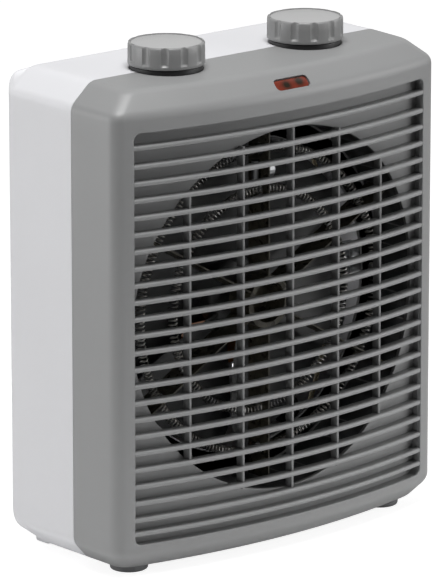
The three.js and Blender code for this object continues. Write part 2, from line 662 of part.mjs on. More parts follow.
// ---- Duct and element ----
function fanDuct() {
  const lead = box([-10, 10], [FRONT_Y, PLATE_Y - 3], [AXIS_Z + DUCT_RADIUS - 8, BODY_TOP]);
  const ring = cut(
    rodY(DUCT_RADIUS + DUCT_WALL, [FRONT_Y, PLATE_BACK], 0, AXIS_Z, 48),
    rodY(DUCT_RADIUS, [FRONT_Y - 1, PLATE_Y], 0, AXIS_Z, 48),
    bowedSlab(HALF_WIDTH, [0, BODY_TOP], [-BODY_DEPTH / 4, PANEL_BACK + GAP]),
    lead,
  );
  const plate = box(
    [-DUCT_SCREW_X - 7, DUCT_SCREW_X + 7],
    [PLATE_Y, PLATE_BACK],
    [AXIS_Z - DUCT_SCREW_RISE - 7, AXIS_Z + DUCT_SCREW_RISE + 7],
  );
  const clearOfBosses = CASING_SCREWS.map(([x, z]) =>
    rodY(BOSS_RADIUS + 1, [FRONT_Y, REAR_Y], x, z),
  );
  const clearOfControls = box(
    [-HALF_WIDTH, HALF_WIDTH],
    [PLATE_Y - 1, REAR_Y],
    [CONTROL_TOP - CONTROL.height - 2, BODY_TOP],
  );
  const holes = DUCT_SCREWS.map(([x, z]) => rodY(SCREW_RADIUS + GAP, [PLATE_Y - 1, REAR_Y], x, z));
  const bridgeHoles = BRIDGE_SCREWS.map(([x, z]) =>
    rodY(SCREW_RADIUS + GAP, [PLATE_Y - 1, REAR_Y], x, z),
  );
  return cut(
    joined(ring, plate),
    rodY(ORIFICE_RADIUS, [FRONT_Y, REAR_Y], 0, AXIS_Z, 48),
    clearOfControls,
    ...clearOfBosses,
    ...holes,
    ...bridgeHoles,
  );
}

const coilRadius = (inset) => DUCT_RADIUS - inset;

function coilRing(inset, tubeRadius) {
  const ring = new THREE.TorusGeometry(coilRadius(inset), tubeRadius, 6, 48);
  ring.rotateX(Math.PI / 2).translate(0, COIL_Y, 0);
  return solid(ring);
}

function micaCard() {
  const reach = [ELEMENT_HUB_RADIUS + GAP, DUCT_RADIUS - GAP - 0.4];
  const card = box(
    reach,
    [CARD_FRONT, CARD_BACK],
    [-CARD_THICKNESS / 2, CARD_THICKNESS / 2],
  );
  return cut(card, ...COIL_INSETS.map((inset) => coilRing(inset, COIL_WIRE_ENVELOPE + 0.5)));
}

const elementHub = () =>
  cut(
    rodY(ELEMENT_HUB_RADIUS, [CARD_FRONT, CARD_BACK], 0, 0, 32),
    rodY(ELEMENT_HUB_RADIUS - 3, [CARD_FRONT - 1, CARD_BACK - 3], 0, 0, 32),
  );

// ---- Fan and motor ----
const BRIDGE_SCREW_X = ORIFICE_RADIUS + 6;
const BRIDGE_SCREWS = [
  [-BRIDGE_SCREW_X, AXIS_Z],
  [BRIDGE_SCREW_X, AXIS_Z],
];
const STACK_SCREWS = [-1, 1].map((s) => [s * (STACK.width / 2 - 6), STACK.above - 6]);

function impeller() {
  const hub = cut(
    rodY(FAN_HUB_RADIUS, [FAN_FRONT + 1, FAN_BACK - 1], 0, 0, 32),
    rodY(SHAFT_RADIUS + GAP, [FAN_FRONT, FAN_BACK]),
  );
  const chord = (FAN_DEPTH - 3) / Math.cos(BLADE_PITCH);
  const blades = Array.from({ length: BLADE_COUNT }, (_, i) => {
    const blade = new THREE.BoxGeometry(FAN_RADIUS - 10, chord, BLADE_THICKNESS, 6, 1, 1);
    blade.translate((FAN_RADIUS + 10) / 2, 0, 0);
    const points = blade.getAttribute("position");
    for (let k = 0; k < points.count; k++) {
      const radius = points.getX(k);
      const widen = 0.62 + 0.38 * Math.sin((Math.PI * radius) / (1.35 * FAN_RADIUS));
      const twist = BLADE_PITCH * (1.35 - (0.5 * radius) / FAN_RADIUS);
      const [y, z] = [points.getY(k) * widen, points.getZ(k)];
      points.setY(k, y * Math.cos(twist) - z * Math.sin(twist));
      points.setZ(k, y * Math.sin(twist) + z * Math.cos(twist));
    }
    blade.rotateY((i / BLADE_COUNT) * 2 * Math.PI).translate(0, (FAN_FRONT + FAN_BACK) / 2, 0);
    return solid(blade);
  });
  const bore = rodY(SHAFT_RADIUS + GAP, [FAN_FRONT - 5, FAN_BACK + 5]);
  const sweep = cut(
    rodY(FAN_RADIUS, [FAN_FRONT, FAN_BACK], 0, 0, 48),
    rodY(FAN_HUB_RADIUS - 2, [FAN_FRONT - 1, FAN_BACK + 1], 0, 0, 32),
  );
  return cut(joined(hub, joined(...blades).intersect(sweep)), bore);
}

const shaft = () =>
  rodY(SHAFT_RADIUS, [FAN_FRONT - SHAFT_NOSE, CAP_Y + BRIDGE_THICKNESS + 2]);
const clip = () =>
  cut(
    rodY(SHAFT_RADIUS + 2.5, [FAN_FRONT - 1.5, FAN_FRONT + 1 - GAP]),
    rodY(SHAFT_RADIUS + GAP, [FAN_FRONT - 3, FAN_FRONT + 2]),
  );
const rotor = () =>
  cut(
    rodY(ROTOR_RADIUS, [STACK_FRONT, STACK_BACK], 0, 0, 24),
    rodY(SHAFT_RADIUS + GAP, [STACK_FRONT - 1, STACK_BACK + 1]),
  );

// The lamination stack is a frame: the rotor bore is near its top and the winding sits on the
// limb that closes its foot.
const LIMB_TOP = STACK.limb - STACK.below;
function stator() {
  const half = STACK.width / 2;
  const y = [STACK_FRONT, STACK_BACK];
  const through = [STACK_FRONT - 1, STACK_BACK + 1];
  return cut(
    box([-half, half], y, [-STACK.below, STACK.above]),
    rodY(ROTOR_RADIUS + 0.6, through, 0, 0, 24),
    box([-half + 10, half - 10], through, [LIMB_TOP, -ROTOR_RADIUS - 6]),
    ...STACK_SCREWS.map(([x, z]) => rodY(SCREW_RADIUS + GAP, through, x, z)),
  );
}

function winding() {
  const half = STACK.width / 2 - 11;
  const copper = box(
    [-half, half],
    [STACK_FRONT - WINDING_BUILD, STACK_BACK + WINDING_BUILD],
    [-STACK.below - WINDING_BUILD, LIMB_TOP + WINDING_BUILD],
  );
  const limb = box(
    [-half - 1, half + 1],
    [STACK_FRONT - GAP, STACK_BACK + GAP],
    [-STACK.below - GAP, LIMB_TOP + GAP],
  );
  return cut(copper, limb);
}

function motorBridge() {
  const reach = ORIFICE_RADIUS + 11.8;
  const strap = box(
    [-reach, reach],
    [BRIDGE_Y, BRIDGE_Y + BRIDGE_THICKNESS],
    [-BRIDGE_HEIGHT / 2, BRIDGE_HEIGHT / 2],
  );
  const ears = box(
    [-STACK.width / 2, STACK.width / 2],
    [BRIDGE_Y, BRIDGE_Y + BRIDGE_THICKNESS],
    [-BRIDGE_HEIGHT / 2, STACK.above],
  );
  const legs = [-1, 1].map((s) => {
    const x = [s * (ORIFICE_RADIUS + 10.3), s * reach].sort((a, b) => a - b);
    return box(x, [PLATE_BACK + GAP, BRIDGE_Y + 1], [-BRIDGE_HEIGHT / 2, BRIDGE_HEIGHT / 2]);
  });
  const tabs = [-1, 1].map((s) => {
    const x = [s * (ORIFICE_RADIUS + 1.5), s * reach].sort((a, b) => a - b);
    const y = [PLATE_BACK + GAP, PLATE_BACK + GAP + BRIDGE_THICKNESS];
    return box(x, y, [-BRIDGE_HEIGHT / 2, BRIDGE_HEIGHT / 2]);
  });
  const drop = ([x, z]) => rodY(SCREW_RADIUS + GAP, [PLATE_BACK, REAR_Y], x, z);
  return cut(
    joined(strap, ears, ...legs, ...tabs),
    rodY(SHAFT_RADIUS + GAP, [PLATE_BACK, REAR_Y]),
    ...STACK_SCREWS.map(drop),
    ...BRIDGE_SCREWS.map(([x]) => drop([x, 0])),
  );
}

function motorCap() {
  const plate = box(
    [-STACK.width / 2, STACK.width / 2],
    [CAP_Y, CAP_Y + BRIDGE_THICKNESS],
    [-BRIDGE_HEIGHT / 2, STACK.above],
  );
  const drop = ([x, z]) => rodY(SCREW_RADIUS + GAP, [CAP_Y - 1, REAR_Y], x, z);
  return cut(plate, rodY(SHAFT_RADIUS + GAP, [CAP_Y - 1, REAR_Y]), ...STACK_SCREWS.map(drop));
}

// ---- Small parts ----
// A slotted screw with the underside of its head at the origin, driven towards -Y.
function screw(length) {
  return cut(
    joined(
      rodY(SCREW_HEAD_RADIUS, [0, SCREW_HEAD_HEIGHT], 0, 0, 12),
      rodY(SCREW_RADIUS, [-length, 0.5], 0, 0, 8),
    ),
    box([-SCREW_HEAD_RADIUS, SCREW_HEAD_RADIUS], [SCREW_HEAD_HEIGHT - 1, 5], [-0.5, 0.5]),
  );
}

const cordGland = () =>
  cut(
    joined(
      rodY(GLAND_RADIUS, [REAR_Y - 8, REAR_Y - 0.2], 0, 0, 24),
      rodY(GLAND_RADIUS + 2.5, [REAR_Y - WALL - GAP - 2, REAR_Y - WALL - GAP], 0, 0, 24),
    ),
    rodY(GLAND_RADIUS - 2.2, [REAR_Y - 9, REAR_Y + 1]),
  );

const TERMINALS = { x: [22, 58], y: [12, 28], height: 13 };
function terminalBlock() {
  const base = FOOT_HEIGHT + WALL + GAP;
  const block = box(TERMINALS.x, TERMINALS.y, [base, base + TERMINALS.height]);
  const wells = [0, 1, 2].map((i) =>
    rodZ(2.4, [base + 7, base + 20], TERMINALS.x[0] + 6 + 12 * i, TERMINALS.y[0] + 8, 12),
  );
  return cut(block, ...wells);
}

// ---- Scene graph ----
const heater = new THREE.Group();

function place(name, made, material, position = [0, 0, 0], parent = heater) {
  const mesh = new THREE.Mesh(geometryOf(made), material);
  mesh.name = name;
  mesh.position.set(...position);
  parent.add(mesh);
  return mesh;
}

place("front_housing", frontHousing(), GREY_PLASTIC);
place("rear_housing", rearHousing(), WHITE_PLASTIC);
place("indicator_lens", lensBar(0, [-LENS.depth, -LENS.sink]), AMBER_LENS);
place("neon_lamp", lamp(), LAMP_GLASS);

const CONTROLS = [
  { name: "selector", x: KNOB_XS[0], tabs: 3 },
  { name: "thermostat", x: KNOB_XS[1], tabs: 2 },
];
for (const { name, x, tabs } of CONTROLS) {
  place(`${name}_knob`, knob(), GREY_PLASTIC, [x, KNOB_Y, KNOB_BASE]);
  place(`${name}_collar`, knobCollar(), BLACK_PLASTIC, [x, KNOB_Y, SEAT_FLOOR]);
  place(`${name}_spindle`, spindle(), STEEL, [x, KNOB_Y, SPINDLE_FOOT]);
  place(`${name}_body`, controlBody(tabs), BLACK_PLASTIC, [x, KNOB_Y, CONTROL_TOP]);
}
place("control_bracket", controlBracket(), STEEL);
[-1, 1].forEach((s, i) => {
  const position = [s * BRACKET_SCREW_X, BRACKET_SCREW_Y, BRACKET_Z - GAP];
  const turned = place(`bracket_screw_${i + 1}`, screw(5.4), STEEL, position);
  turned.rotation.x = -Math.PI / 2;
});

place("fan_duct", fanDuct(), DARK_STEEL);
DUCT_SCREWS.forEach(([x, z], i) => {
  place(`duct_screw_${i + 1}`, screw(8.5), STEEL, [x, PLATE_BACK + GAP, z]);
});

const element = new THREE.Group();
element.position.set(0, 0, AXIS_Z);
heater.add(element);
place("element_hub", elementHub(), MICA, [0, 0, 0], element);
for (let i = 0; i < CARD_COUNT; i++) {
  const card = place(`mica_card_${i + 1}`, micaCard(), MICA, [0, 0, 0], element);
  card.rotation.y = Math.PI / 2 - (i / CARD_COUNT) * 2 * Math.PI;
}
place("outer_coil", coilRing(COIL_INSETS[0], COIL_WIRE_ENVELOPE), STEEL, [0, 0, 0], element);
place("inner_coil", coilRing(COIL_INSETS[1], COIL_WIRE_ENVELOPE), STEEL, [0, 0, 0], element);

// The cut-out and the fuse sit either side of the top card, between the two coils.
const betweenCoils = (coilRadius(COIL_INSETS[0]) + coilRadius(COIL_INSETS[1])) / 2;
const cutoutGeometry = new THREE.CylinderGeometry(6, 6, 5, 20).rotateZ(Math.PI / 2);
const beside = CARD_THICKNESS / 2 + GAP;
place("thermal_cutout", solid(cutoutGeometry), STEEL, [beside + 2.5, COIL_Y, betweenCoils], element);
place("thermal_fuse", rodZ(2, [-5, 5]), STEEL, [-beside - 2, COIL_Y, betweenCoils], element);

const motor = new THREE.Group();
motor.position.set(0, 0, AXIS_Z);
heater.add(motor);
place("fan_impeller", impeller(), BLACK_PLASTIC, [0, 0, 0], motor);
place("fan_shaft", shaft(), STEEL, [0, 0, 0], motor);
place("impeller_clip", clip(), STEEL, [0, 0, 0], motor);
place("motor_rotor", rotor(), DARK_STEEL, [0, 0, 0], motor);
place("motor_stator", stator(), DARK_STEEL, [0, 0, 0], motor);
place("motor_winding", winding(), COPPER, [0, 0, 0], motor);
place("motor_bridge", motorBridge(), STEEL, [0, 0, 0], motor);
place("motor_cap", motorCap(), STEEL, [0, 0, 0], motor);
STACK_SCREWS.forEach(([x, z], i) => {
  const reach = CAP_Y + BRIDGE_THICKNESS - BRIDGE_Y + 2;
  const y = CAP_Y + BRIDGE_THICKNESS + GAP;
  place(`motor_screw_${i + 1}`, screw(reach), STEEL, [x, y, z], motor);
});
BRIDGE_SCREWS.forEach(([x], i) => {
  const y = PLATE_BACK + 2 * GAP + BRIDGE_THICKNESS;
  place(`bridge_screw_${i + 1}`, screw(6), STEEL, [x, y, 0], motor);
});

CASING_SCREWS.forEach(([x, z], i) => {
  place(`casing_screw_${i + 1}`, screw(HEAD_Y - SEAM_Y + 20), STEEL, [x, HEAD_Y + GAP, z]);
});
place("cord_gland", cordGland(), BLACK_PLASTIC, [GLAND_X, 0, FOOT_HEIGHT + GLAND_RISE]);
place("terminal_block", terminalBlock(), CREAM_SLEEVE);

// Fixed internal leads, each from one terminal to the next.
const tabEnd = KNOB_Y + CONTROL.depth / 2 + 6 + WIRE_RADIUS + GAP;
const tabZ = CONTROL_TOP - 8.6;
const blockTop = FOOT_HEIGHT + WALL + TERMINALS.height + 2 * GAP + WIRE_RADIUS;
const sideY = BRIDGE_Y + BRIDGE_THICKNESS + 6;
const besideFan = ORIFICE_RADIUS + 6;
const windingZ = AXIS_Z + LIMB_TOP - STACK.limb / 2;
const windingBack = STACK_BACK + WINDING_BUILD + WIRE_RADIUS + GAP;
const LEADS = {
  supply_lead: [
    [TERMINALS.x[1] - 6, 20, blockTop],
    [TERMINALS.x[1] + 8, sideY, blockTop + 14],
    [besideFan, sideY, AXIS_Z],
    [KNOB_XS[1] + 12, sideY, tabZ - 16],
    [KNOB_XS[1] + 4, tabEnd, tabZ],
  ],
  neutral_lead: [
    [TERMINALS.x[0] + 6, 20, blockTop],
    [16, sideY + 8, blockTop + 12],
    [10, windingBack + 1, windingZ - 14],
    [10, windingBack, windingZ],
  ],
  motor_lead: [
    [KNOB_XS[0] - 8, tabEnd, tabZ],
    [-besideFan + 14, sideY, tabZ - 24],
    [-besideFan + 8, sideY, AXIS_Z],
    [-34, windingBack + 1, windingZ - 8],
    [-10, windingBack, windingZ],
  ],
  control_link: [
    [KNOB_XS[0] + 8, tabEnd, tabZ],
    [0, tabEnd + 5, tabZ - 6],
    [KNOB_XS[1] - 4, tabEnd, tabZ],
  ],
};
for (const [name, points] of Object.entries(LEADS)) {
  place(name, tube(points, WIRE_RADIUS), CREAM_SLEEVE);
}

// Sleeved leads rise from the top card to the space between the two controls.
[-1, 1].forEach((s, i) => {
  const x = s * 4.2;
  const low = AXIS_Z + DUCT_RADIUS - 10;
  const points = [
    [x, COIL_Y, low],
    [x, COIL_Y, low + 12],
    [x, COIL_Y + 1.5, low + 20],
    [x + s * 6, COIL_Y + 6, CONTROL_TOP - 10],
  ];
  place(`element_lead_${i + 1}`, tube(points, WIRE_RADIUS), CREAM_SLEEVE);
});

export default heater;
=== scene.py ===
# %% [markdown]
# # An upright fan heater
# The heater is a thin-walled box: a grey moulded front with a bowed, slatted grille, and a white
# moulded back. Two fluted knobs sit in round seats on top, each over a black ring that is painted
# shade for the dark gap under the knob. Behind the slats are a round duct, two rings of coiled
# resistance wire on mica cards, and a fan. A packed engineering model fixes where every part is, so
# this lesson starts by loading it, and every size that matters is read from it.

# %% Load the frame
import math

import bmesh
import bpy
from mathutils import Matrix, Vector


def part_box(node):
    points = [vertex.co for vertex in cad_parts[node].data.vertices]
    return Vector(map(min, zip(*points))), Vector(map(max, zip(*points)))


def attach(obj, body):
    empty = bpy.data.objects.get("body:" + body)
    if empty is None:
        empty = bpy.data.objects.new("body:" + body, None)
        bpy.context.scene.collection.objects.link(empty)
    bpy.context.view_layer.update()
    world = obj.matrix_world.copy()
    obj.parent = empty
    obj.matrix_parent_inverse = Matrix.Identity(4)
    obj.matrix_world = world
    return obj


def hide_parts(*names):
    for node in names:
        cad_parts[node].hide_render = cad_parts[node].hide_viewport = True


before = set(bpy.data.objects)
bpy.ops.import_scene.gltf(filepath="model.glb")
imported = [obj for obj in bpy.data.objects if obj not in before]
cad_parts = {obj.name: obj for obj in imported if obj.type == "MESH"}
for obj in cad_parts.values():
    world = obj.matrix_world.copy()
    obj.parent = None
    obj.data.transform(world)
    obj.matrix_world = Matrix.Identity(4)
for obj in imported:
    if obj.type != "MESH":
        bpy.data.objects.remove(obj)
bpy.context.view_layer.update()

MM = 0.001

# %% [markdown]
# ## The camera and the light
# A long lens from far off keeps the heater's sides almost parallel. The studio is a pale floor under
# a pale sky: a broad lamp overhead for the top faces, one at the left for the white side, and a
# weaker one at the right for the grille. A lamp's size matters more than its power, because the
# satin plastic shows the lamp's edge as the edge of a sheen.

# %% Camera
scene = bpy.context.scene
SHOT = {"azimuth": -40.85, "elevation": 14.79, "lens": 350.8,
        "place": (-1.8914, -2.1782, 0.88945)}


def make_camera():
    """A camera that looks along the shot's angles, a little above the middle of the body."""
    data = bpy.data.cameras.new("camera")
    data.lens = SHOT["lens"]
    data.sensor_width = 36
    data.clip_end = 50
    camera = bpy.data.objects.new("camera", data)
    scene.collection.objects.link(camera)
    azimuth, elevation = math.radians(SHOT["azimuth"]), math.radians(SHOT["elevation"])
    back = Vector((math.sin(azimuth) * math.cos(elevation),
                   -math.cos(azimuth) * math.cos(elevation), math.sin(elevation)))
    camera.location = SHOT["place"]
    camera.rotation_mode = "QUATERNION"
    camera.rotation_quaternion = (-back).to_track_quat("-Z", "Y")
    scene.camera = camera
    return camera


camera = make_camera()
print("camera at", [round(v, 3) for v in camera.location])

# %% Lamps
scene.view_settings.view_transform = "Standard"
scene.view_settings.look = "None"
LAMPS = {
    "overhead": {"place": (-0.2, -0.25, 1.45), "size": (0.7, 0.7), "power": 18.8},
    "left": {"place": (-1.5, 0.9, 0.2), "size": (1.2, 0.9), "power": 12.6},
    "right": {"place": (1.45, -1.2, 0.5), "size": (1.2, 1.0), "power": 13.0},
}


def make_lamp(name, place, size, power):
    """A rectangular soft lamp that faces the middle of the body."""
    data = bpy.data.lights.new(name, "AREA")
    data.shape = "RECTANGLE"
    data.size, data.size_y = size
    data.energy = power
    lamp = bpy.data.objects.new(name, data)
    scene.collection.objects.link(lamp)
    lamp.location = place
    aim = Vector((0, 0, 0.12)) - Vector(place)
    lamp.rotation_mode = "QUATERNION"
    lamp.rotation_quaternion = aim.to_track_quat("-Z", "Y")
    return lamp


for name, lamp in LAMPS.items():
    make_lamp(name, **lamp)

print("lamps", list(LAMPS))

# %% [markdown]
# ## Writing a finish as an expression
# A finish is a small graph of nodes. Wiring nodes one by one hides the idea, so a wrapper round a
# socket gives it Python's operators: `grain * 0.2 + 0.4` adds the two Math nodes that it needs. Every
# other node comes from `Finish.node`, which takes the node's type, its settings and its inputs.

# %% Signals and finishes
class Signal:
    """One output socket, used in a Python expression."""

    def __init__(self, finish, socket):
        self.finish = finish
        self.socket = socket

    def math(self, operation, *values):
        settings = {"operation": operation}
        return self.finish.node("ShaderNodeMath", settings, dict(enumerate(values)))

    def __add__(self, other):
        return self.math("ADD", self, other)

    def __radd__(self, other):
        return self.math("ADD", other, self)

    def __sub__(self, other):
        return self.math("SUBTRACT", self, other)

    def __rsub__(self, other):
        return self.math("SUBTRACT", other, self)

    def __mul__(self, other):
        return self.math("MULTIPLY", self, other)

    def __rmul__(self, other):
        return self.math("MULTIPLY", other, self)

    def __pow__(self, other):
        return self.math("POWER", self, other)

    def above(self, edge, softness):
        """0 below the edge, 1 above it, with a soft step between."""
        settings = {"interpolation_type": "SMOOTHSTEP"}
        inputs = {"Value": self, "From Min": edge - softness, "From Max": edge + softness}
        return self.finish.node("ShaderNodeMapRange", settings, inputs)


class Graph:
    """A tree of shader nodes, and the few nodes that the finishes share."""

    def __init__(self, tree, shader):
        self.tree = tree
        self.shader = tree.nodes[shader]

    def node(self, kind, settings=None, inputs=None, output=0):
        made = self.tree.nodes.new(kind)
        for key, value in (settings or {}).items():
            if key == "stops":
                self.set_stops(made.color_ramp, value)
            else:
                setattr(made, key, value)
        for key, value in (inputs or {}).items():
            self.feed(made.inputs[key], value)
        return Signal(self, made.outputs[output])

    def feed(self, socket, value):
        if isinstance(value, Signal):
            self.tree.links.new(value.socket, socket)
        else:
            socket.default_value = value

    def set_stops(self, ramp, stops):
        for _ in range(len(stops) - len(ramp.elements)):
            ramp.elements.new(1.0)
        for element, (position, color) in zip(ramp.elements, stops):
            element.position = position
            element.color = color

    def place(self):
        """Where a point is on the piece, in metres."""
        return self.node("ShaderNodeTexCoord", output="Object")

    def noise(self, scale, detail=2.0, stretch=None):
        place = self.place()
        if stretch:
            place = self.node("ShaderNodeVectorMath", {"operation": "MULTIPLY"},
                              {0: place, 1: stretch})
        inputs = {"Vector": place, "Scale": scale, "Detail": detail}
        return self.node("ShaderNodeTexNoise", {}, inputs)

    def mix(self, amount, first, second):
        """A colour between two colours; sockets 6 and 7 are the node's colour inputs."""
        return self.node("ShaderNodeMix", {"data_type": "RGBA"}, {0: amount, 6: first, 7: second},
                         output=2)

    def bump(self, height, depth, strength=1.0):
        inputs = {"Height": height, "Distance": depth, "Strength": strength}
        self.feed(self.shader.inputs["Normal"], self.node("ShaderNodeBump", {}, inputs))

    def shade(self, **signals):
        for socket, value in signals.items():
            self.feed(self.shader.inputs[socket.replace("_", " ")], value)


class Finish(Graph):
    """A material built round its Principled shader."""

    def __init__(self, name, **constants):
        self.material = bpy.data.materials.new(name)
        self.material.use_nodes = True
        super().__init__(self.material.node_tree, "Principled BSDF")
        for socket, value in constants.items():
            self.shader.inputs[socket.replace("_", " ")].default_value = value


def shaded(color, factor):
    """The same colour, lighter or darker, as the four numbers a socket takes."""
    return (*[min(1.0, c * factor) for c in color], 1.0)


# %% [markdown]
# ## The sky
# The top faces are seen almost edge on, so their sheen is a picture of what stands behind the
# heater. A studio's lit back wall is what gives that sheen, and the side behind the camera is kept
# dark so that the grille's hollows stay deep. The sky is therefore bright on one side only.

# %% Sky
BACK_WALL = {"towards": (0.65, 0.76, 0.0), "light": 0.3, "elsewhere": 0.1}


def make_sky():
    world = bpy.data.worlds.new("studio")
    world.use_nodes = True
    scene.world = world
    graph = Graph(world.node_tree, "Background")
    direction = graph.node("ShaderNodeTexCoord", output="Generated")
    towards = graph.node("ShaderNodeVectorMath", {"operation": "DOT_PRODUCT"},
                         {0: direction, 1: BACK_WALL["towards"]}, output="Value")
    wall = towards.above(0.45, 0.3) * BACK_WALL["light"] + BACK_WALL["elsewhere"]
    seen = graph.node("ShaderNodeLightPath", output="Is Camera Ray")
    graph.shade(Color=(1, 1, 1, 1), Strength=wall * (1 - seen) + seen)


make_sky()
print("sky", BACK_WALL)

# %% [markdown]
# ## The finishes
# The mould for the two shells is spark-eroded, so their plastic has a fine even grain that breaks up
# the sheen; a slow change in colour and gloss keeps the large faces from looking printed. The wire
# is drawn nickel-chrome, blued where it ran hot, the cards are flaky mica, and the leads wear a
# woven glass sleeve.

# %% Plastics
def moulded(name, color, roughness, grain=0.00003, grain_scale=1500, sway=0.04, **constants):
    """Moulded plastic: grain in the surface, and a slow sway in colour and gloss."""
    finish = Finish(name, **constants)
    cloud = finish.noise(22, 3.0)
    speck = finish.noise(grain_scale, 2.0)
    tint = finish.mix(cloud, shaded(color, 1 - sway), shaded(color, 1 + sway))
    finish.shade(Base_Color=tint, Roughness=roughness + (cloud - 0.5) * 0.12 + (speck - 0.5) * 0.1)
    finish.bump(speck, grain)
    return finish.material


GREY = (0.268, 0.27, 0.271)
WHITE = (0.68, 0.68, 0.70)
FINISHES = {
    "grey_shell": moulded("grey_shell", GREY, 0.40),
    "knob_grey": moulded("knob_grey", (0.25, 0.251, 0.251), 0.36, grain=0.00002),
    "knob_face": moulded("knob_face", (0.40, 0.40, 0.40), 0.30, grain=0.00001),
    "white_shell": moulded("white_shell", WHITE, 0.42, sway=0.015),
    # Black plastic for the switch bodies and the cord gland; on the knob seats the same black is
    # painted shade.
    "black_plastic": moulded("black_plastic", (0.014, 0.014, 0.015), 0.45),
    "fan_plastic": moulded("fan_plastic", (0.055, 0.057, 0.057), 0.42, sway=0.12),
    "cream_plastic": moulded("cream_plastic", (0.50, 0.43, 0.30), 0.5),
    "foot_rubber": moulded("foot_rubber", (0.16, 0.162, 0.165), 0.7, grain=0.00008),
}


def tinted_lens(electrodes):
    """Clear red plastic, dark in the two places where the lamp behind it shows through."""
    finish = Finish("red_lens", Roughness=0.16, Coat_Weight=0.5, Coat_Roughness=0.06)
    dark = 0
    for place in electrodes:
        off = finish.node("ShaderNodeVectorMath", {"operation": "DISTANCE"},
                          {0: finish.place(), 1: place}, output="Value")
        dark = dark + (1 - (off * 400).above(0.95, 0.9))
    ripple = finish.noise(420, 2.0)
    red = finish.mix(ripple, (0.13, 0.022, 0.012, 1), (0.22, 0.035, 0.018, 1))
    finish.shade(Base_Color=finish.mix(dark * 0.65, red, (0.022, 0.016, 0.010, 1)))
    finish.bump(ripple, 0.00002)
    return finish.material


# %% Metals, mica and sleeves
def plain_metal(name, color, roughness, streak=(400, 400, 400), wear=0.25, **constants):
    """Sheet or drawn metal: fine streaks, and a worn cloud of duller metal."""
    finish = Finish(name, Metallic=1.0, **constants)
    cloud = finish.noise(60, 4.0)
    streaks = finish.noise(1.0, 3.0, stretch=streak)
    tint = finish.mix(cloud, shaded(color, 1 - wear), shaded(color, 1 + wear / 2))
    finish.shade(Base_Color=tint, Roughness=roughness + (streaks - 0.5) * 0.2)
    finish.bump(streaks, 0.00002)
    return finish.material


def heated_wire():
    """Bright drawn wire with straw and blue heat colours in places."""
    finish = Finish("element_wire", Metallic=1.0)
    heat = finish.noise(45, 2.0)
    stops = [(0.35, (0.80, 0.79, 0.77, 1)), (0.52, (0.46, 0.44, 0.41, 1)),
             (0.7, (0.20, 0.20, 0.21, 1))]
    finish.shade(Base_Color=finish.node("ShaderNodeValToRGB", {"stops": stops}, {"Fac": heat}),
                 Roughness=0.24 + heat * 0.2)
    return finish.material


def mica():
    """Pressed mica: lighter flakes in a brown binder, both dark as painted shade inside the duct."""
    finish = Finish("mica", Specular_IOR_Level=0.6)
    inputs = {"Vector": finish.place(), "Scale": 420}
    flake = finish.node("ShaderNodeTexVoronoi", {}, inputs, output="Color")
    level = finish.node("ShaderNodeSeparateColor", {}, {"Color": flake})
    # Both colours are darker than bare mica: painted shade for the dim inside of the duct.
    finish.shade(Base_Color=finish.mix(level, (0.045, 0.040, 0.026, 1), (0.12, 0.11, 0.08, 1)),
                 Roughness=0.25 + level * 0.3)
    finish.bump(level, 0.00005)
    return finish.material


def coated_steel(name, color):
    """Dark stoved coating on sheet steel, dusty in places."""
    finish = Finish(name, Metallic=0.3)
    dust = finish.noise(70, 4.0).above(0.58, 0.12)
    finish.shade(Base_Color=finish.mix(dust, shaded(color, 1.0), shaded(color, 1.9)),
                 Roughness=0.42 + dust * 0.25)
    finish.bump(finish.noise(900, 2.0), 0.00003)
    return finish.material


def woven_sleeve():
    """Glass-fibre sleeve: two crossing waves make the weave."""
    finish = Finish("cream_sleeve", Sheen_Weight=0.2)
    turn = {"bands_direction": "DIAGONAL"}
    weave = finish.node("ShaderNodeTexWave", turn, {"Vector": finish.place(), "Scale": 420})
    finish.shade(Base_Color=finish.mix(weave, (0.50, 0.42, 0.28, 1), (0.72, 0.64, 0.47, 1)),
                 Roughness=0.6 + weave * 0.2)
    finish.bump(weave, 0.00012)
    return finish.material


FINISHES |= {
    "element_wire": heated_wire(),
    "mica": mica(),
    "dark_steel": coated_steel("dark_steel", (0.10, 0.102, 0.104)),
    "duct_steel": coated_steel("duct_steel", (0.26, 0.262, 0.264)),
    "zinc_steel": plain_metal("zinc_steel", (0.55, 0.56, 0.57), 0.34),
    "lamination": plain_metal("lamination", (0.16, 0.16, 0.17), 0.45, streak=(20, 2400, 20)),
    "copper": plain_metal("copper", (0.55, 0.24, 0.10), 0.32, streak=(2600, 20, 2600)),
    "lamp_glass": moulded("lamp_glass", (0.75, 0.42, 0.28), 0.08, grain=0.0),
    "cream_sleeve": woven_sleeve(),
}
print(len(FINISHES), "finishes")

# %% [markdown]
# ## Building shapes from rings
# Nearly every piece here is a row of rings joined by strips of faces: a slat is one section carried
# along the bow, a shell is one plan carried up the height. Moulded plastic has no knife edges, so
# corners of a section pass through `rounded` first, and the small arc it leaves catches the light.

# %% Shape helpers
def rounded(corners, radius, steps=3, closed=True):
    """Fillets the corners of an outline. An open outline keeps its two ends."""
    count = len(corners)
    points = []
    for i, corner in enumerate(corners):
        corner = Vector(corner)
        if not closed and i in (0, count - 1):
            points.append(corner)
            continue
        before = Vector(corners[i - 1]) - corner
        after = Vector(corners[(i + 1) % count]) - corner
        reach = min(radius, before.length * 0.45, after.length * 0.45)
        start = corner + before.normalized() * reach
        end = corner + after.normalized() * reach
        for k in range(steps + 1):
            t = k / steps
            points.append(start * (1 - t) ** 2 + corner * 2 * t * (1 - t) + end * t ** 2)
    return points


def circle(radius, height, place, sides, axis):
    """A ring of points round an upright axis through place, or round one along Y."""
    ring = []
    for k in range(sides):
        angle = 2 * math.pi * k / sides
        a, b = radius * math.cos(angle), radius * math.sin(angle)
        ring.append(Vector(place) + Vector((a, b, height) if axis == "Z" else (a, height, b)))
    return ring


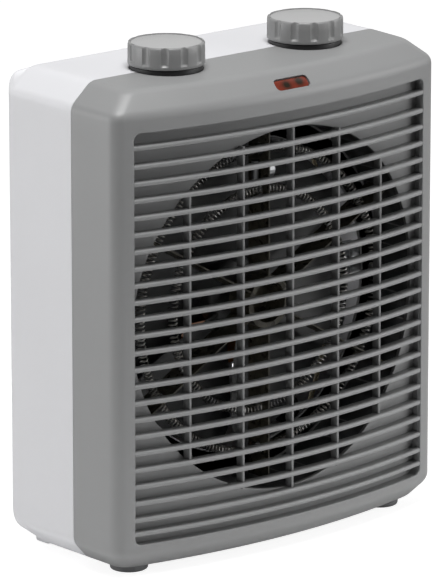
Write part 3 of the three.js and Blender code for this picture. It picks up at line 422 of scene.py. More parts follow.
class Shape:
    """Points and faces on their way to becoming one object."""

    def __init__(self):
        self.points = []
        self.faces = []

    def add(self, points):
        first = len(self.points)
        self.points.extend(Vector(p) for p in points)
        return first

    def loft(self, rings, closed=True, wrap=False, caps=False):
        """Strips between successive rings; wrap joins the last ring to the first."""
        count = len(rings[0])
        first = self.add(point for ring in rings for point in ring)
        for i in range(len(rings) if wrap else len(rings) - 1):
            row, above = first + i * count, first + (i + 1) % len(rings) * count
            for j in range(count if closed else count - 1):
                k = (j + 1) % count
                self.faces.append((row + j, row + k, above + k, above + j))
        if caps:
            last = first + (len(rings) - 1) * count
            self.faces.append(tuple(range(first, first + count))[::-1])
            self.faces.append(tuple(range(last, last + count)))
        return first

    def turned(self, profile, place, sides=72, axis="Z"):
        """A closed profile of (radius, height) pairs, turned about an axis through place."""
        rings = [circle(radius, height, place, sides, axis) for radius, height in profile]
        return self.loft(rings, wrap=True)

    def bar(self, section, ends, bend):
        """Carries a section between two ends; bend gives the place of (along, across, up)."""
        rings = [[bend(along, *point) for point in section] for along in ends]
        return self.loft(rings, caps=True)


def piece(name, shape, finish, body="casing", stands_for=(), sharp=40):
    """Makes the object, shades it smooth up to the sharp angle, and puts it on its body."""
    mesh = bpy.data.meshes.new(name)
    mesh.from_pydata(shape.points, [], shape.faces)
    finish_mesh(mesh, sharp)
    made = bpy.data.objects.new(name, mesh)
    scene.collection.objects.link(made)
    mesh.materials.append(FINISHES[finish])
    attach(made, body)
    if stands_for:
        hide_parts(*stands_for)
    return made


def finish_mesh(mesh, sharp=40):
    """Turns faces outwards and shades them smooth, except across edges over the sharp angle."""
    work = bmesh.new()
    work.from_mesh(mesh)
    bmesh.ops.remove_doubles(work, verts=work.verts, dist=1e-6)
    bmesh.ops.recalc_face_normals(work, faces=work.faces)
    work.to_mesh(mesh)
    work.free()
    mesh.shade_smooth()
    mesh.set_sharp_from_angle(angle=math.radians(sharp))


def settle(made):
    """Applies the piece's modifiers, so that what follows works on the final mesh."""
    graph = bpy.context.evaluated_depsgraph_get()
    mesh = bpy.data.meshes.new_from_object(made.evaluated_get(graph))
    made.modifiers.clear()
    made.data = mesh
    return made


def carve(made, *shapes):
    """Cuts closed shapes out of a piece."""
    for shape in shapes:
        mesh = bpy.data.meshes.new("cutter")
        mesh.from_pydata(shape.points, [], shape.faces)
        finish_mesh(mesh)
        cutter = bpy.data.objects.new("cutter", mesh)
        scene.collection.objects.link(cutter)
        cut = made.modifiers.new("cut", "BOOLEAN")
        cut.operation, cut.solver, cut.object = "DIFFERENCE", "EXACT", cutter
        settle(made)
        bpy.data.objects.remove(cutter)
    return made


def rod(radius, place, span, axis="Z", sides=64):
    """A closed cylinder from span[0] to span[1] along an axis through place."""
    shape = Shape()
    shape.loft([circle(radius, height, place, sides, axis) for height in span], caps=True)
    return shape


def prism(outline, span):
    """A closed slab in Y of an outline of (x, z) points."""
    shape = Shape()
    shape.loft([[(x, y, z) for x, z in outline] for y in span], caps=True)
    return shape


# %% [markdown]
# ## The plan of the shells
# From above, the front is a shallow arc of large radius that turns through a tight corner into the
# straight side. The back is a flat wall with the same corners. Going up the height, a profile says
# how far the wall leans in at the bevels; sides and face have a profile each, and the plan's own
# direction blends one into the other round the corner.

# %% Body sizes
front_box, rear_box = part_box("front_housing"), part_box("rear_housing")
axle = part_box("fan_shaft")
HALF_WIDTH = front_box[1].x
FRONT_Y, SEAM_Y, REAR_Y = front_box[0].y, front_box[1].y, rear_box[1].y
BODY_TOP = front_box[1].z
FOOT = 3.4 * MM
AXIS_Z = (axle[0].z + axle[1].z) / 2
BOW = 420 * MM
CORNER = 8 * MM
REAR_CORNER = 5 * MM
CREASE = 3.5 * MM
TOP_FALL = 1.6 * MM
PROFILE_FLAT = 8.4 * MM  # how far a profile runs on over the top and under the bottom
WALL = 2.2 * MM
EDGES = {  # how far each bevel leans in, and how high it is
    "side_top": (13.2 * MM, 11.6 * MM),
    "front_top": (10.6 * MM, 11.6 * MM),
    "rear_top": (4 * MM, 4 * MM),
    "side_bottom": (9.5 * MM, 10.6 * MM),
    "front_bottom": (9.5 * MM, 10.6 * MM),
    "rear_bottom": (14 * MM, 24 * MM),
}
WINDOW = {"half": HALF_WIDTH - 10.8 * MM, "low": FOOT + 14.7 * MM, "high": BODY_TOP - 21 * MM,
          "radius": 4 * MM}
SLAT_DEPTH = 6 * MM


def bow_y(x, depth=0.0):
    """The bowed face at x, set back by depth."""
    return FRONT_Y + BOW - math.sqrt((BOW - depth) ** 2 - x * x)


def edge_profile(bottom, top, inside=0.0):
    """(lean, height) pairs from the underside to the top, with soft creases."""
    low, high = FOOT + inside, BODY_TOP - inside
    corners = [
        (bottom[0] + PROFILE_FLAT, low),
        (bottom[0], low),
        (inside, FOOT + bottom[1]),
        (inside, BODY_TOP - top[1]),
        (top[0], high),
        (top[0] + PROFILE_FLAT, high),
    ]
    return [tuple(p) for p in rounded(corners, CREASE, 8, closed=False)]


def front_plan(side_lean, face_lean):
    """Half of the front's plan, crest to seam: (x, y, direction) in order."""
    half, bow, middle = HALF_WIDTH - side_lean, BOW - face_lean, FRONT_Y + BOW
    corner_x = half - CORNER
    corner_y = middle - math.sqrt((bow - CORNER) ** 2 - corner_x ** 2)
    tangent = math.atan2(corner_y - middle, corner_x)
    edge_x = bow * math.cos(tangent)
    full_edge = (HALF_WIDTH - CORNER) / (BOW - CORNER) * BOW
    marks = [WINDOW["half"] * k / 20 for k in range(20)]
    marks += [WINDOW["half"] - WINDOW["radius"], WINDOW["half"], full_edge]
    points = []
    for x in sorted(marks):
        x = x * edge_x / full_edge
        y = middle - math.sqrt(bow * bow - x * x)
        points.append((x, y, math.atan2(y - middle, x)))
    for k in range(1, 11):
        angle = tangent * (1 - k / 10)
        points.append((corner_x + CORNER * math.cos(angle),
                       corner_y + CORNER * math.sin(angle), angle))
    for k in (0.33, 0.66, 1):
        points.append((half, corner_y + (SEAM_Y - corner_y) * k, 0))
    return points


def rear_plan(side_lean, face_lean, radius=REAR_CORNER, seam=None):
    """Half of the rear's plan, from the middle of the back to the seam."""
    half, back = HALF_WIDTH - side_lean, REAR_Y - face_lean
    seam = rear_box[0].y if seam is None else seam
    points = [(x * (half - radius), back, math.pi / 2) for x in (0, 0.5)]
    for k in range(11):
        angle = math.pi / 2 * (1 - k / 10)
        points.append((half - radius + radius * math.cos(angle),
                       back - radius + radius * math.sin(angle), angle))
    points.append((half, (back - radius + seam) / 2, 0))
    points.append((half, seam, 0))
    return points


def top_fall(y, z):
    """The front's top slopes down a little towards the grille."""
    forward = min(1.0, max(0.0, (SEAM_Y - y) / (SEAM_Y - FRONT_Y)))
    bevel = EDGES["front_top"][1]
    upward = min(1.0, max(0.0, (z - BODY_TOP + bevel) / bevel))
    return TOP_FALL * forward * upward


def shell_rings(plan, side, face):
    """One ring for each step of the profiles, from the left seam round to the right seam."""
    rings = []
    for (side_lean, side_z), (face_lean, face_z) in zip(side, face):
        half = []
        for x, y, direction in plan(side_lean, face_lean):
            facing = math.sin(direction) ** 2
            z = side_z * (1 - facing) + face_z * facing
            half.append((x, y, z - top_fall(y, z)))
        rings.append([(-x, y, z) for x, y, z in half[:0:-1]] + half)
    return rings


print("body", [round(v / MM, 1) for v in (2 * HALF_WIDTH, REAR_Y - FRONT_Y, BODY_TOP)], "mm")

# %% [markdown]
# ## The front shell
# The front could be a block with a window cut out of it, but a cut leaves long thin faces that
# shade badly on a bow. Here the window is planned into the rings instead: lines of points run along
# its edges, the faces inside are left out, and a fan of small faces rounds each corner. The edge is
# then drawn inwards and rounded over, which makes the rim that frames the slats.

# %% Front skin with its window
def with_window_levels(profile):
    """Adds levels at the window's edges to the straight part of a profile."""
    low, high, radius = WINDOW["low"], WINDOW["high"], WINDOW["radius"]
    levels = [low, low + radius, high - radius, high]
    steps = 16
    levels += [low + radius + (high - low - 2 * radius) * k / steps for k in range(1, steps)]
    below = [p for p in profile if p[1] < low]
    above = [p for p in profile if p[1] > high]
    return below + [(0.0, z) for z in sorted(levels)] + above


def front_skin():
    """The front's outer skin, its window left open."""
    side = with_window_levels(edge_profile(EDGES["side_bottom"], EDGES["side_top"]))
    face = with_window_levels(edge_profile(EDGES["front_bottom"], EDGES["front_top"]))
    rings = shell_rings(front_plan, side, face)
    shape = Shape()
    count = len(rings[0])
    shape.add(point for ring in rings for point in ring)
    inside = {(i, j) for i in range(len(rings) - 1) for j in range(count - 1)
              if in_window(rings, i, j)}
    for i in range(len(rings) - 1):
        for j in range(count - 1):
            if (i, j) not in inside:
                a = i * count + j
                shape.faces.append((a, a + 1, a + count + 1, a + count))
    for z, up in ((WINDOW["low"], 1), (WINDOW["high"], -1)):
        for side_sign in (-1, 1):
            round_window_corner(shape, side_sign, z, up)
    for ring in (0, len(rings) - 1):
        shape.faces.append(tuple(range(ring * count, (ring + 1) * count)))
    return shape


def in_window(rings, i, j):
    """Whether the face above ring i and right of point j lies in the window."""
    x = (rings[i][j][0] + rings[i][j + 1][0]) / 2
    z = (rings[i][j][2] + rings[i + 1][j][2]) / 2
    return abs(x) < WINDOW["half"] and WINDOW["low"] < z < WINDOW["high"]


def round_window_corner(shape, side_sign, z, up):
    """A fan of faces that rounds one corner of the window."""
    radius, half = WINDOW["radius"], WINDOW["half"]
    arc = []
    for k in range(9):
        angle = math.pi / 2 * k / 8
        x = side_sign * (half - radius + radius * math.cos(angle))
        arc.append((x, bow_y(x), z + up * radius * (1 - math.sin(angle))))
    first = shape.add([(side_sign * half, bow_y(half), z)] + arc)
    for k in range(8):
        shape.faces.append((first, first + 1 + k, first + 2 + k))


def draw_window_rim(mesh, depth, edge):
    """Extrudes the window's edge inwards along the bow and rounds it over."""
    work = bmesh.new()
    work.from_mesh(mesh)
    bmesh.ops.remove_doubles(work, verts=work.verts, dist=1e-6)
    bmesh.ops.recalc_face_normals(work, faces=work.faces)
    reach = WINDOW["half"] + MM
    rim = [e for e in work.edges if e.is_boundary
           and all(abs(v.co.x) < reach and v.co.z > WINDOW["low"] - MM
                   and v.co.z < WINDOW["high"] + MM for v in e.verts)]
    drawn = bmesh.ops.extrude_edge_only(work, edges=rim)
    for vert in (g for g in drawn["geom"] if isinstance(g, bmesh.types.BMVert)):
        vert.co.y = bow_y(vert.co.x, depth)
    bmesh.ops.bevel(work, geom=rim, offset=edge, segments=3, affect="EDGES", profile=0.5,
                    clamp_overlap=True)
    work.to_mesh(mesh)
    work.free()
    return len(rim)


front_shell = piece("front_shell", front_skin(), "grey_shell", stands_for=["front_housing"])
rim_edges = draw_window_rim(front_shell.data, SLAT_DEPTH + 1.5 * MM, 0.7 * MM)
thick = front_shell.modifiers.new("thickness", "SOLIDIFY")
thick.thickness = WALL
thick.offset = -1
settle(front_shell)
print("front shell", len(front_shell.data.polygons), "faces,", rim_edges, "rim edges")

# %% [markdown]
# ## Knob seats and the lens slot
# Each knob turns in a round seat that is half in the front shell and half in the rear one, so both
# shells are cut by the same cylinder. The indicator's slot follows the lens, which the frame places
# on the front bevel.

# %% Seats and slot
knob_boxes = {name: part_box(f"{name}_knob") for name in ("selector", "thermostat")}
collar_boxes = {name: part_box(f"{name}_collar") for name in ("selector", "thermostat")}
lens_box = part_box("indicator_lens")
SEAT_GAP = 0.3 * MM
LENS_RISE = 0.39  # how far up the bevel the lens sits


def middle(box):
    return (box[0] + box[1]) / 2


def seat_cutters():
    """One cylinder for each knob, down to just under its collar."""
    cutters = []
    for name, box in collar_boxes.items():
        centre = middle(box)
        radius = (box[1].x - box[0].x) / 2 + SEAT_GAP
        low = box[0].z - SEAT_GAP
        cutters.append(rod(radius, (centre.x, centre.y, 0), (low, BODY_TOP + 5 * MM), sides=96))
    return cutters


def lens_matrix():
    """The lens's middle, with Z out of the bevel."""
    lean = EDGES["front_top"]
    tilt = math.atan2(lean[1] - TOP_FALL, lean[0])
    place = Vector((0, FRONT_Y + lean[0] * LENS_RISE,
                    BODY_TOP - lean[1] + (lean[1] - TOP_FALL) * LENS_RISE))
    return Matrix.Translation(place) @ Matrix.Rotation(tilt, 4, "X")


LENS_PLACE = lens_matrix()
LENS = {"half_width": 11.2 * MM, "half_height": 3.3 * MM, "radius": 2.7 * MM,
        "proud": -0.6 * MM, "depth": 5.5 * MM}


def lens_outline(grow):
    half, high = LENS["half_width"] + grow, LENS["half_height"] + grow
    return rounded([(-half, -high), (half, -high), (half, high), (-half, high)],
                   LENS["radius"] + grow, 6)


def lens_slot():
    shape = Shape()
    outline = lens_outline(0.25 * MM)
    shape.loft([[LENS_PLACE @ Vector((x, y, z)) for x, y in outline]
                for z in (-LENS["depth"], 3 * MM)], caps=True)
    return shape


ELECTRODES = [LENS_PLACE @ Vector((x * MM, y * MM, LENS["proud"]))
              for x, y in ((-4.6, -0.5), (-2.4, -0.3), (4.6, 0.3), (6.2, 0.6))]
FINISHES["red_lens"] = tinted_lens(ELECTRODES)
carve(front_shell, *seat_cutters(), lens_slot())
finish_mesh(front_shell.data, 35)
print("front shell carved:", len(front_shell.data.polygons), "faces")


# %% Lens
def lens_shape():
    """A bar with softly rounded upper edges."""
    shape = Shape()
    top, soft = LENS["proud"], 0.8 * MM
    rings = []
    for grow, z in [(0, -LENS["depth"]), (0, top - soft), (-0.25 * soft, top - 0.3 * soft),
                    (-soft, top)]:
        rings.append([LENS_PLACE @ Vector((x, y, z)) for x, y in lens_outline(grow)])
    shape.loft(rings, caps=True)
    return shape


piece("lens", lens_shape(), "red_lens", stands_for=["indicator_lens"])
print("lens in place")

# %% [markdown]
# ## The grille
# Behind the rim lies a bowed panel with one large round opening, and across the whole window run
# slats that follow the bow. Each slat is a deep thin bar, so from this side its upper face shows as
# a dark band over the bright front edge. Five upright ribs tie the slats together across the
# opening, a little behind their fronts.

# %% Panel
APERTURE = {"radius": (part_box("fan_duct")[1].x - 2 * MM), "thickness": 2 * MM}


def window_outline_point(angle, reach, low, high):
    """Where a ray from the opening's middle meets the panel's outline."""
    dx, dz = math.cos(angle), math.sin(angle)
    up = (high - AXIS_Z) if dz > 0 else (AXIS_Z - low)
    scale = min(reach / max(abs(dx), 1e-9), up / max(abs(dz), 1e-9))
    return dx * scale, AXIS_Z + dz * scale


def panel_shape(sides=192, rows=6):
    """A bowed sheet from the round opening out to behind the rim."""
    front, back = [], []
    radius, thickness = APERTURE["radius"], APERTURE["thickness"]
    edge = 0.5 * MM
    reach, low, high = WINDOW["half"] + 1.2 * MM, WINDOW["low"] - 1.2 * MM, WINDOW["high"] + 1.2 * MM
    angles = [2 * math.pi * (k + 0.5) / sides for k in range(sides)]
    for row in range(rows + 1):
        t = 1 - row / rows
        ring = []
        for angle in angles:
            near = ((radius + edge) * math.cos(angle), AXIS_Z + (radius + edge) * math.sin(angle))
            far = window_outline_point(angle, reach, low, high)
            ring.append((near[0] + (far[0] - near[0]) * t, near[1] + (far[1] - near[1]) * t))
        front.append([(x, bow_y(x, SLAT_DEPTH), z) for x, z in ring])
        back.append([(x, bow_y(x, SLAT_DEPTH + thickness), z) for x, z in ring])
    lip = []
    for grow, depth in [(0.3 * edge, 0.15 * edge), (0, 0.6 * edge), (0, thickness)]:
        ring = [((radius + grow) * math.cos(a), AXIS_Z + (radius + grow) * math.sin(a))
                for a in angles]
        lip.append([(x, bow_y(x, SLAT_DEPTH + depth), z) for x, z in ring])
    shape = Shape()
    shape.loft(front + lip + back[::-1], wrap=True)
    return shape


piece("grille_panel", panel_shape(), "grey_shell", stands_for=["front_housing"], sharp=50)

# %% Slats and ribs
SLAT = {"pitch": 8.85 * MM, "first_pitch": 9.8 * MM, "thickness": 2.3 * MM,
        "top_drop": 8 * MM, "bottom_rise": 5.8 * MM, "setback": 0.2 * MM}
RIB = {"pitch": 32.75 * MM, "per_side": 2, "thickness": 1.5 * MM, "setback": 2.6 * MM}


def slat_heights():
    """The middles of the slats from the top down; the last one keeps its own height."""
    heights = [WINDOW["high"] - SLAT["top_drop"]]
    last = WINDOW["low"] + SLAT["bottom_rise"]
    z = heights[0] - SLAT["first_pitch"]
    while z > last + SLAT["pitch"] / 2:
        heights.append(z)
        z -= SLAT["pitch"]
    return heights + [last]


def slats_shape():
    """Every slat: a section with rounded front edges, carried along the bow."""
    half = SLAT["thickness"] / 2
    section = rounded([(SLAT["setback"], -half), (SLAT["setback"], half),
                       (SLAT_DEPTH + 0.4 * MM, half), (SLAT_DEPTH + 0.4 * MM, -half)],
                      0.95 * MM, 4)
    reach = WINDOW["half"] + 0.8 * MM
    stations = [reach * (2 * k / 48 - 1) for k in range(49)]
    shape = Shape()
    for height in slat_heights():
        shape.bar(section, stations,
                  lambda x, depth, up, z=height: (x, bow_y(x, depth), z + up))
    return shape


def ribs_shape():
    """The upright ribs, each as long as the opening is high where it stands."""
    half = RIB["thickness"] / 2
    back = SLAT_DEPTH + 1.6 * MM
    section = rounded([(-half, RIB["setback"]), (half, RIB["setback"]), (half, back),
                       (-half, back)], 0.4 * MM, 3)
    shape = Shape()
    for k in range(-RIB["per_side"], RIB["per_side"] + 1):
        x = k * RIB["pitch"]
        rise = math.sqrt(APERTURE["radius"] ** 2 - x * x) + 0.8 * MM
        shape.bar(section, [AXIS_Z - rise, AXIS_Z + rise],
                  lambda z, across, depth, x=x: (x + across, bow_y(x, depth), z))
    return shape


piece("grille_slats", slats_shape(), "grey_shell", stands_for=["front_housing"], sharp=50)
piece("grille_ribs", ribs_shape(), "grey_shell", stands_for=["front_housing"], sharp=50)
print(len(slat_heights()), "slats,", 2 * RIB["per_side"] + 1, "ribs")

# %% [markdown]
# ## The rear shell
# The back is flat, so here cutting is the simple way: a solid with the outer form, less a solid with
# the inner form, less the round air intake, the hand grip, the screw wells and the cord's hole. The
# intake is then filled with bars of its own, as the mould does it.

# %% Rear shell
screw_boxes = {name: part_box(name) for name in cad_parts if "screw" in name}
casing_wells = [middle(box) for name, box in screw_boxes.items() if name.startswith("casing")]
HEAD_Y = max(box[1].y for name, box in screw_boxes.items() if name.startswith("casing"))
gland_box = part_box("cord_gland")
INTAKE = {"radius": 80.5 * MM, "pitch": 11 * MM, "bar": 5 * MM, "uprights": 3, "width": 4 * MM}
GRIP = {"half": 42 * MM, "high": BODY_TOP - 16 * MM, "low": BODY_TOP - 36 * MM, "depth": 15 * MM}
REAR_WALL = 2.5 * MM


def rear_block(inside=0.0, seam=None):
    """The rear's outer form, or its inner form when it is set inside by the wall."""
    side = edge_profile(EDGES["side_bottom"], EDGES["side_top"], inside)
    face = edge_profile(EDGES["rear_bottom"], EDGES["rear_top"], inside)
    shape = Shape()
    rings = shell_rings(
        lambda s, f: rear_plan(s, f, REAR_CORNER, seam),
        side, [(max(lean, inside), z) for lean, z in face])
    shape.loft(rings, caps=True)
    return shape


def rear_cutters():
    grip = rounded([(-GRIP["half"], GRIP["low"]), (GRIP["half"], GRIP["low"]),
                    (GRIP["half"], GRIP["high"]), (-GRIP["half"], GRIP["high"])], 4 * MM, 6)
    cutters = [
        rod(INTAKE["radius"], (0, 0, AXIS_Z), (REAR_Y - 8 * MM, REAR_Y + 5 * MM), "Y", 128),
        prism(grip, (REAR_Y - GRIP["depth"], REAR_Y + 5 * MM)),
    ]
    for place in casing_wells:
        cutters.append(rod(4.2 * MM, (place.x, 0, place.z),
                           (HEAD_Y - 2.5 * MM, REAR_Y + 5 * MM), "Y", 40))
    gland = middle(gland_box)
    cutters.append(rod(6 * MM, (gland.x, 0, gland.z), (REAR_Y - 10 * MM, REAR_Y + 5 * MM),
                       "Y", 48))
    return cutters


def rear_hollow():
    """The inner form, less the walls round the grip and the screw posts, which stay solid."""
    hollow = piece("hollow", rear_block(REAR_WALL, rear_box[0].y - 5 * MM), "white_shell")
    wall = REAR_WALL
    grip = rounded([(-GRIP["half"] - wall, GRIP["low"] - wall),
                    (GRIP["half"] + wall, GRIP["low"] - wall),
                    (GRIP["half"] + wall, GRIP["high"] + wall),
                    (-GRIP["half"] - wall, GRIP["high"] + wall)], 5 * MM, 4)
    posts = [rod(5.8 * MM, (p.x, 0, p.z), (rear_box[0].y - 6 * MM, REAR_Y), "Y", 40)
             for p in casing_wells]
    carve(hollow, prism(grip, (REAR_Y - GRIP["depth"] - wall, REAR_Y)), *posts)
    shape = Shape()
    shape.points = [v.co.copy() for v in hollow.data.vertices]
    shape.faces = [tuple(face.vertices) for face in hollow.data.polygons]
    bpy.data.objects.remove(hollow)
    return shape


rear_shell = piece("rear_shell", rear_block(), "white_shell", stands_for=["rear_housing"])
carve(rear_shell, rear_hollow(), *rear_cutters(), *seat_cutters())
finish_mesh(rear_shell.data, 35)
print("rear shell", len(rear_shell.data.polygons), "faces")


# %% Intake bars
def intake_shape():
    """Level bars and a few uprights across the round intake."""
    shape = Shape()
    radius, half = INTAKE["radius"], INTAKE["bar"] / 2
    deep = (REAR_Y - REAR_WALL, REAR_Y)
    section = rounded([(deep[0], -half), (deep[1], -half), (deep[1], half), (deep[0], half)],
                      0.6 * MM, 3)
    rows = int(radius / INTAKE["pitch"])
    for k in range(-rows, rows + 1):
        z = k * INTAKE["pitch"]
        reach = math.sqrt(radius ** 2 - max(abs(z) - half, 0) ** 2) + 0.3 * MM
        shape.bar(section, [-reach, reach], lambda x, y, up, z=z: (x, y, AXIS_Z + z + up))
    half = INTAKE["width"] / 2
    upright = rounded([(-half, deep[0] - 0.4 * MM), (-half, deep[1] - 0.4 * MM),
                       (half, deep[1] - 0.4 * MM), (half, deep[0] - 0.4 * MM)], 0.5 * MM, 3)
    for k in range(INTAKE["uprights"]):
        x = ((k + 1) / (INTAKE["uprights"] + 1) - 0.5) * 2 * radius
        reach = math.sqrt(radius ** 2 - x * x) + 0.3 * MM
        shape.bar(upright, [-reach, reach], lambda z, across, y, x=x: (x + across, y, AXIS_Z + z))
    return shape


piece("intake_bars", intake_shape(), "white_shell", stands_for=["rear_housing"], sharp=50)

# %% [markdown]
# ## Feet
# The front stands on two round pads moulded under the shell, each with a rubber face, and the back
# on two short blocks that stop it from rocking.

# %% Feet
FRONT_PAD = {"radius": 10.6 * MM, "x": 87.5 * MM, "y": SEAM_Y - 17.2 * MM}
REAR_BLOCK = {"x": (78.5 * MM, 94.5 * MM), "y": (REAR_Y - 13 * MM, REAR_Y - 2.5 * MM),
              "high": 17 * MM}


def pads_shape():
    shape = Shape()
    r = FRONT_PAD["radius"]
    for sign in (-1, 1):
        profile = rounded([(0.2 * MM, 0), (r - 0.8 * MM, 0), (r, 7 * MM), (0.2 * MM, 7 * MM)],
                          1.0 * MM, 4)
        shape.turned(profile, Vector((sign * FRONT_PAD["x"], FRONT_PAD["y"], 0)))
    return shape


def rear_feet_shape():
    shape = Shape()
    (x0, x1), (y0, y1) = REAR_BLOCK["x"], REAR_BLOCK["y"]
    for sign in (-1, 1):
        rings = []
        for z, grow in [(0, -0.9 * MM), (0.3 * MM, -0.3 * MM), (1 * MM, 0),
                        (REAR_BLOCK["high"], 0.2 * MM)]:
            a, b = x0 - grow, x1 + grow
            outline = rounded([(a, y0 - grow), (b, y0 - grow), (b, y1 + grow), (a, y1 + grow)],
                              1.5 * MM, 4)
            rings.append([(sign * x, y, z) for x, y in outline])
        shape.loft(rings, caps=True)
    return shape


piece("front_pads", pads_shape(), "foot_rubber", stands_for=["front_housing"])
piece("rear_feet", rear_feet_shape(), "white_shell", stands_for=["rear_housing"])
print("feet in place")

# %% [markdown]
# ## Knobs
# A knob is a shallow cup. Twelve flutes are cut into its wall for grip: each runs out through the
# rim at the top and ends in a small ledge above the skirt, and that ledge is what glints. The ring
# of points is therefore not round: its radius dips wherever a flute passes.

# %% Knob shape
FLUTES = {"count": 12, "radius": 2.6 * MM, "depth": 1.15 * MM, "ledge": 1.7 * MM,
          "ramp": 1.0 * MM}
KNOB_HEIGHT = 11.6 * MM
KNOB_TURN = {"selector": math.radians(17.2), "thermostat": math.radians(2.4)}


def flute_dip(angle, radius):
    """How far the wall is cut back at an angle, at the flutes' full depth."""
    step = 2 * math.pi / FLUTES["count"]
    off = (angle + step / 2) % step - step / 2
    centre = radius + FLUTES["radius"] - FLUTES["depth"]
    across = centre * math.sin(off)
    if abs(across) >= FLUTES["radius"]:
        return 0.0
    wall = centre * math.cos(off) - math.sqrt(FLUTES["radius"] ** 2 - across ** 2)
    return max(0.0, radius - wall)


def knob_shape(box, turn):
    """The cup, from the middle of its top out over the rim, down, and up inside."""
    centre = middle(box)
    radius = (box[1].x - box[0].x) / 2
    base = box[1].z - KNOB_HEIGHT
    top = KNOB_HEIGHT
    ledge = FLUTES["ledge"]
    ramp = ledge + FLUTES["ramp"]
    sunk = top - 0.7 * MM
    inner = radius - 1.6 * MM
    steps = [  # radius, height, share of the flutes' depth
        (0.3 * MM, sunk, 0), (inner - 1 * MM, sunk, 0), (inner - 0.12 * MM, sunk + 0.02 * MM, 0),
        (inner, sunk + 0.15 * MM, 0), (inner, top - 0.2 * MM, 0), (inner + 0.12 * MM, top, 0.05),
        (inner + 0.5 * MM, top, 0.3), (radius - 0.65 * MM, top - 0.12 * MM, 0.7),
        (radius - 0.3 * MM, top - 0.5 * MM, 0.95), (radius - 0.12 * MM, top - 1.1 * MM, 1),
        (radius - 0.08 * MM, (top + ramp) / 2, 1), (radius - 0.02 * MM, ramp + 0.15 * MM, 1),
        (radius - 0.02 * MM, ramp, 0.97), (radius, ledge + 0.1 * MM, 0.1), (radius, ledge, 0),
        (radius, 0.6 * MM, 0), (radius - 0.12 * MM, 0.2 * MM, 0), (radius - 0.45 * MM, 0, 0),
        (radius - 2 * MM, 0, 0), (radius - 2 * MM, sunk - 1.6 * MM, 0),
        (5.5 * MM, sunk - 1.6 * MM, 0), (5.5 * MM, -4.3 * MM, 0), (3.3 * MM, -4.3 * MM, 0),
        (3.3 * MM, sunk - 2.6 * MM, 0), (0.3 * MM, sunk - 2.6 * MM, 0),
    ]
    sides = FLUTES["count"] * 24
    rings = []
    for r, height, share in steps:
        ring = []
        for k in range(sides):
            angle = 2 * math.pi * k / sides
            dip = flute_dip(angle - turn, radius) * share
            ring.append((centre.x + (r - dip) * math.cos(angle),
                         centre.y + (r - dip) * math.sin(angle), base + height))
        rings.append(ring)
    shape = Shape()
    shape.loft(rings, wrap=True)
    return shape


def face_shape(box):
    """The smooth disc let into the knob's top."""
    centre, radius = middle(box), (box[1].x - box[0].x) / 2 - 1.75 * MM
    top = box[1].z - 0.55 * MM
    profile = [(0.2 * MM, top), (radius - 0.3 * MM, top), (radius - 0.1 * MM, top - 0.03 * MM),
               (radius, top - 0.12 * MM), (radius, top - 0.6 * MM), (0.2 * MM, top - 0.6 * MM)]
    shape = Shape()
    shape.turned(profile, Vector((centre.x, centre.y, 0)), 96)
    return shape


for name, box in knob_boxes.items():
    piece(f"{name}_dial", knob_shape(box, KNOB_TURN[name]), "knob_grey", f"{name}_control",
          [f"{name}_knob"], sharp=38)
    piece(f"{name}_disc", face_shape(box), "knob_face", f"{name}_control", [f"{name}_knob"])


# %% Knob seats
def collar_shape(box):
    """A black ring that fills the seat, with a soft outer edge: painted shade for the gap under the
    knob.
    """
    centre, radius = middle(box), (box[1].x - box[0].x) / 2
    low, high, bore = box[0].z, box[1].z, 6.2 * MM
    profile = rounded([(bore, low), (radius, low), (radius, high), (bore, high)], 0.6 * MM, 4)
    shape = Shape()
    shape.turned(profile, Vector((centre.x, centre.y, 0)), 96)
    return shape


# The black of these rings is painted shade: it stands for the dark gap under each knob.
for name, box in collar_boxes.items():
    piece(f"{name}_painted_shade_ring", collar_shape(box), "black_plastic",
          stands_for=[f"{name}_collar"])
print("knobs and seats in place")

# %% [markdown]
# ## Duct, element and fan
# A round duct carries the air from the fan to the grille. In it two rings of coiled wire run through
# notches in mica cards. A coil seen through slats reads as a row of bright slanting strokes, so it
# is made as real turns of wire: a small helix whose own axis is bent into a circle.

# %% Duct
duct_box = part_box("fan_duct")
DUCT = {"outer": duct_box[1].x, "wall": 1.5 * MM, "back": duct_box[1].y,
        "orifice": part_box("fan_impeller")[1].x + 3 * MM}


def duct_shape(sides=128):
    """The round wall behind the panel, turned in at the back to the fan's orifice."""
    outer, wall, back = DUCT["outer"], DUCT["wall"], DUCT["back"]
    front = -32 * MM
    lip = DUCT["orifice"]
    profile = rounded([
        (outer - wall, front), (outer, front), (outer, back), (lip, back),
        (lip, back - wall), (outer - wall, back - wall),
    ], 1.2 * MM, 3)
    shape = Shape()
    shape.turned(profile, Vector((0, 0, AXIS_Z)), sides, "Y")
    return shape


piece("duct_ring", duct_shape(), "duct_steel", sharp=50)


# %% Coils
def strand(points, radius, sides=6, closed=False):
    """A round strand along a path of points, with its section kept from twisting."""
    shape = Shape()
    count = len(points)
    rings = []
    side = None
    for i, point in enumerate(points):
        ahead = points[(i + 1) % count] if closed or i + 1 < count else point
        behind = points[i - 1] if closed or i else point
        along = (ahead - behind).normalized()
        if side is None:
            side = along.orthogonal().normalized()
        side = (side - along * side.dot(along)).normalized()
        other = along.cross(side)
        rings.append([point + (side * math.cos(a) + other * math.sin(a)) * radius
                      for a in (2 * math.pi * k / sides for k in range(sides))])
    shape.loft(rings, wrap=closed, caps=not closed)
    return shape


def coil_points(box, wire, pitch, per_turn=10):
    """A helix of the ring's own thickness, bent round the ring."""
    thick = (box[1].y - box[0].y) / 2
    ring = (box[1].x - box[0].x) / 2 - thick
    depth = (box[0].y + box[1].y) / 2
    turns = round(2 * math.pi * ring / pitch)
    points = []
    for k in range(turns * per_turn):
        around = 2 * math.pi * k / (turns * per_turn)
        spin = 2 * math.pi * k / per_turn
        reach = ring + (thick - wire) * math.cos(spin)
        points.append(Vector((reach * math.cos(around), depth + (thick - wire) * math.sin(spin),
                              AXIS_Z + reach * math.sin(around))))
    return points


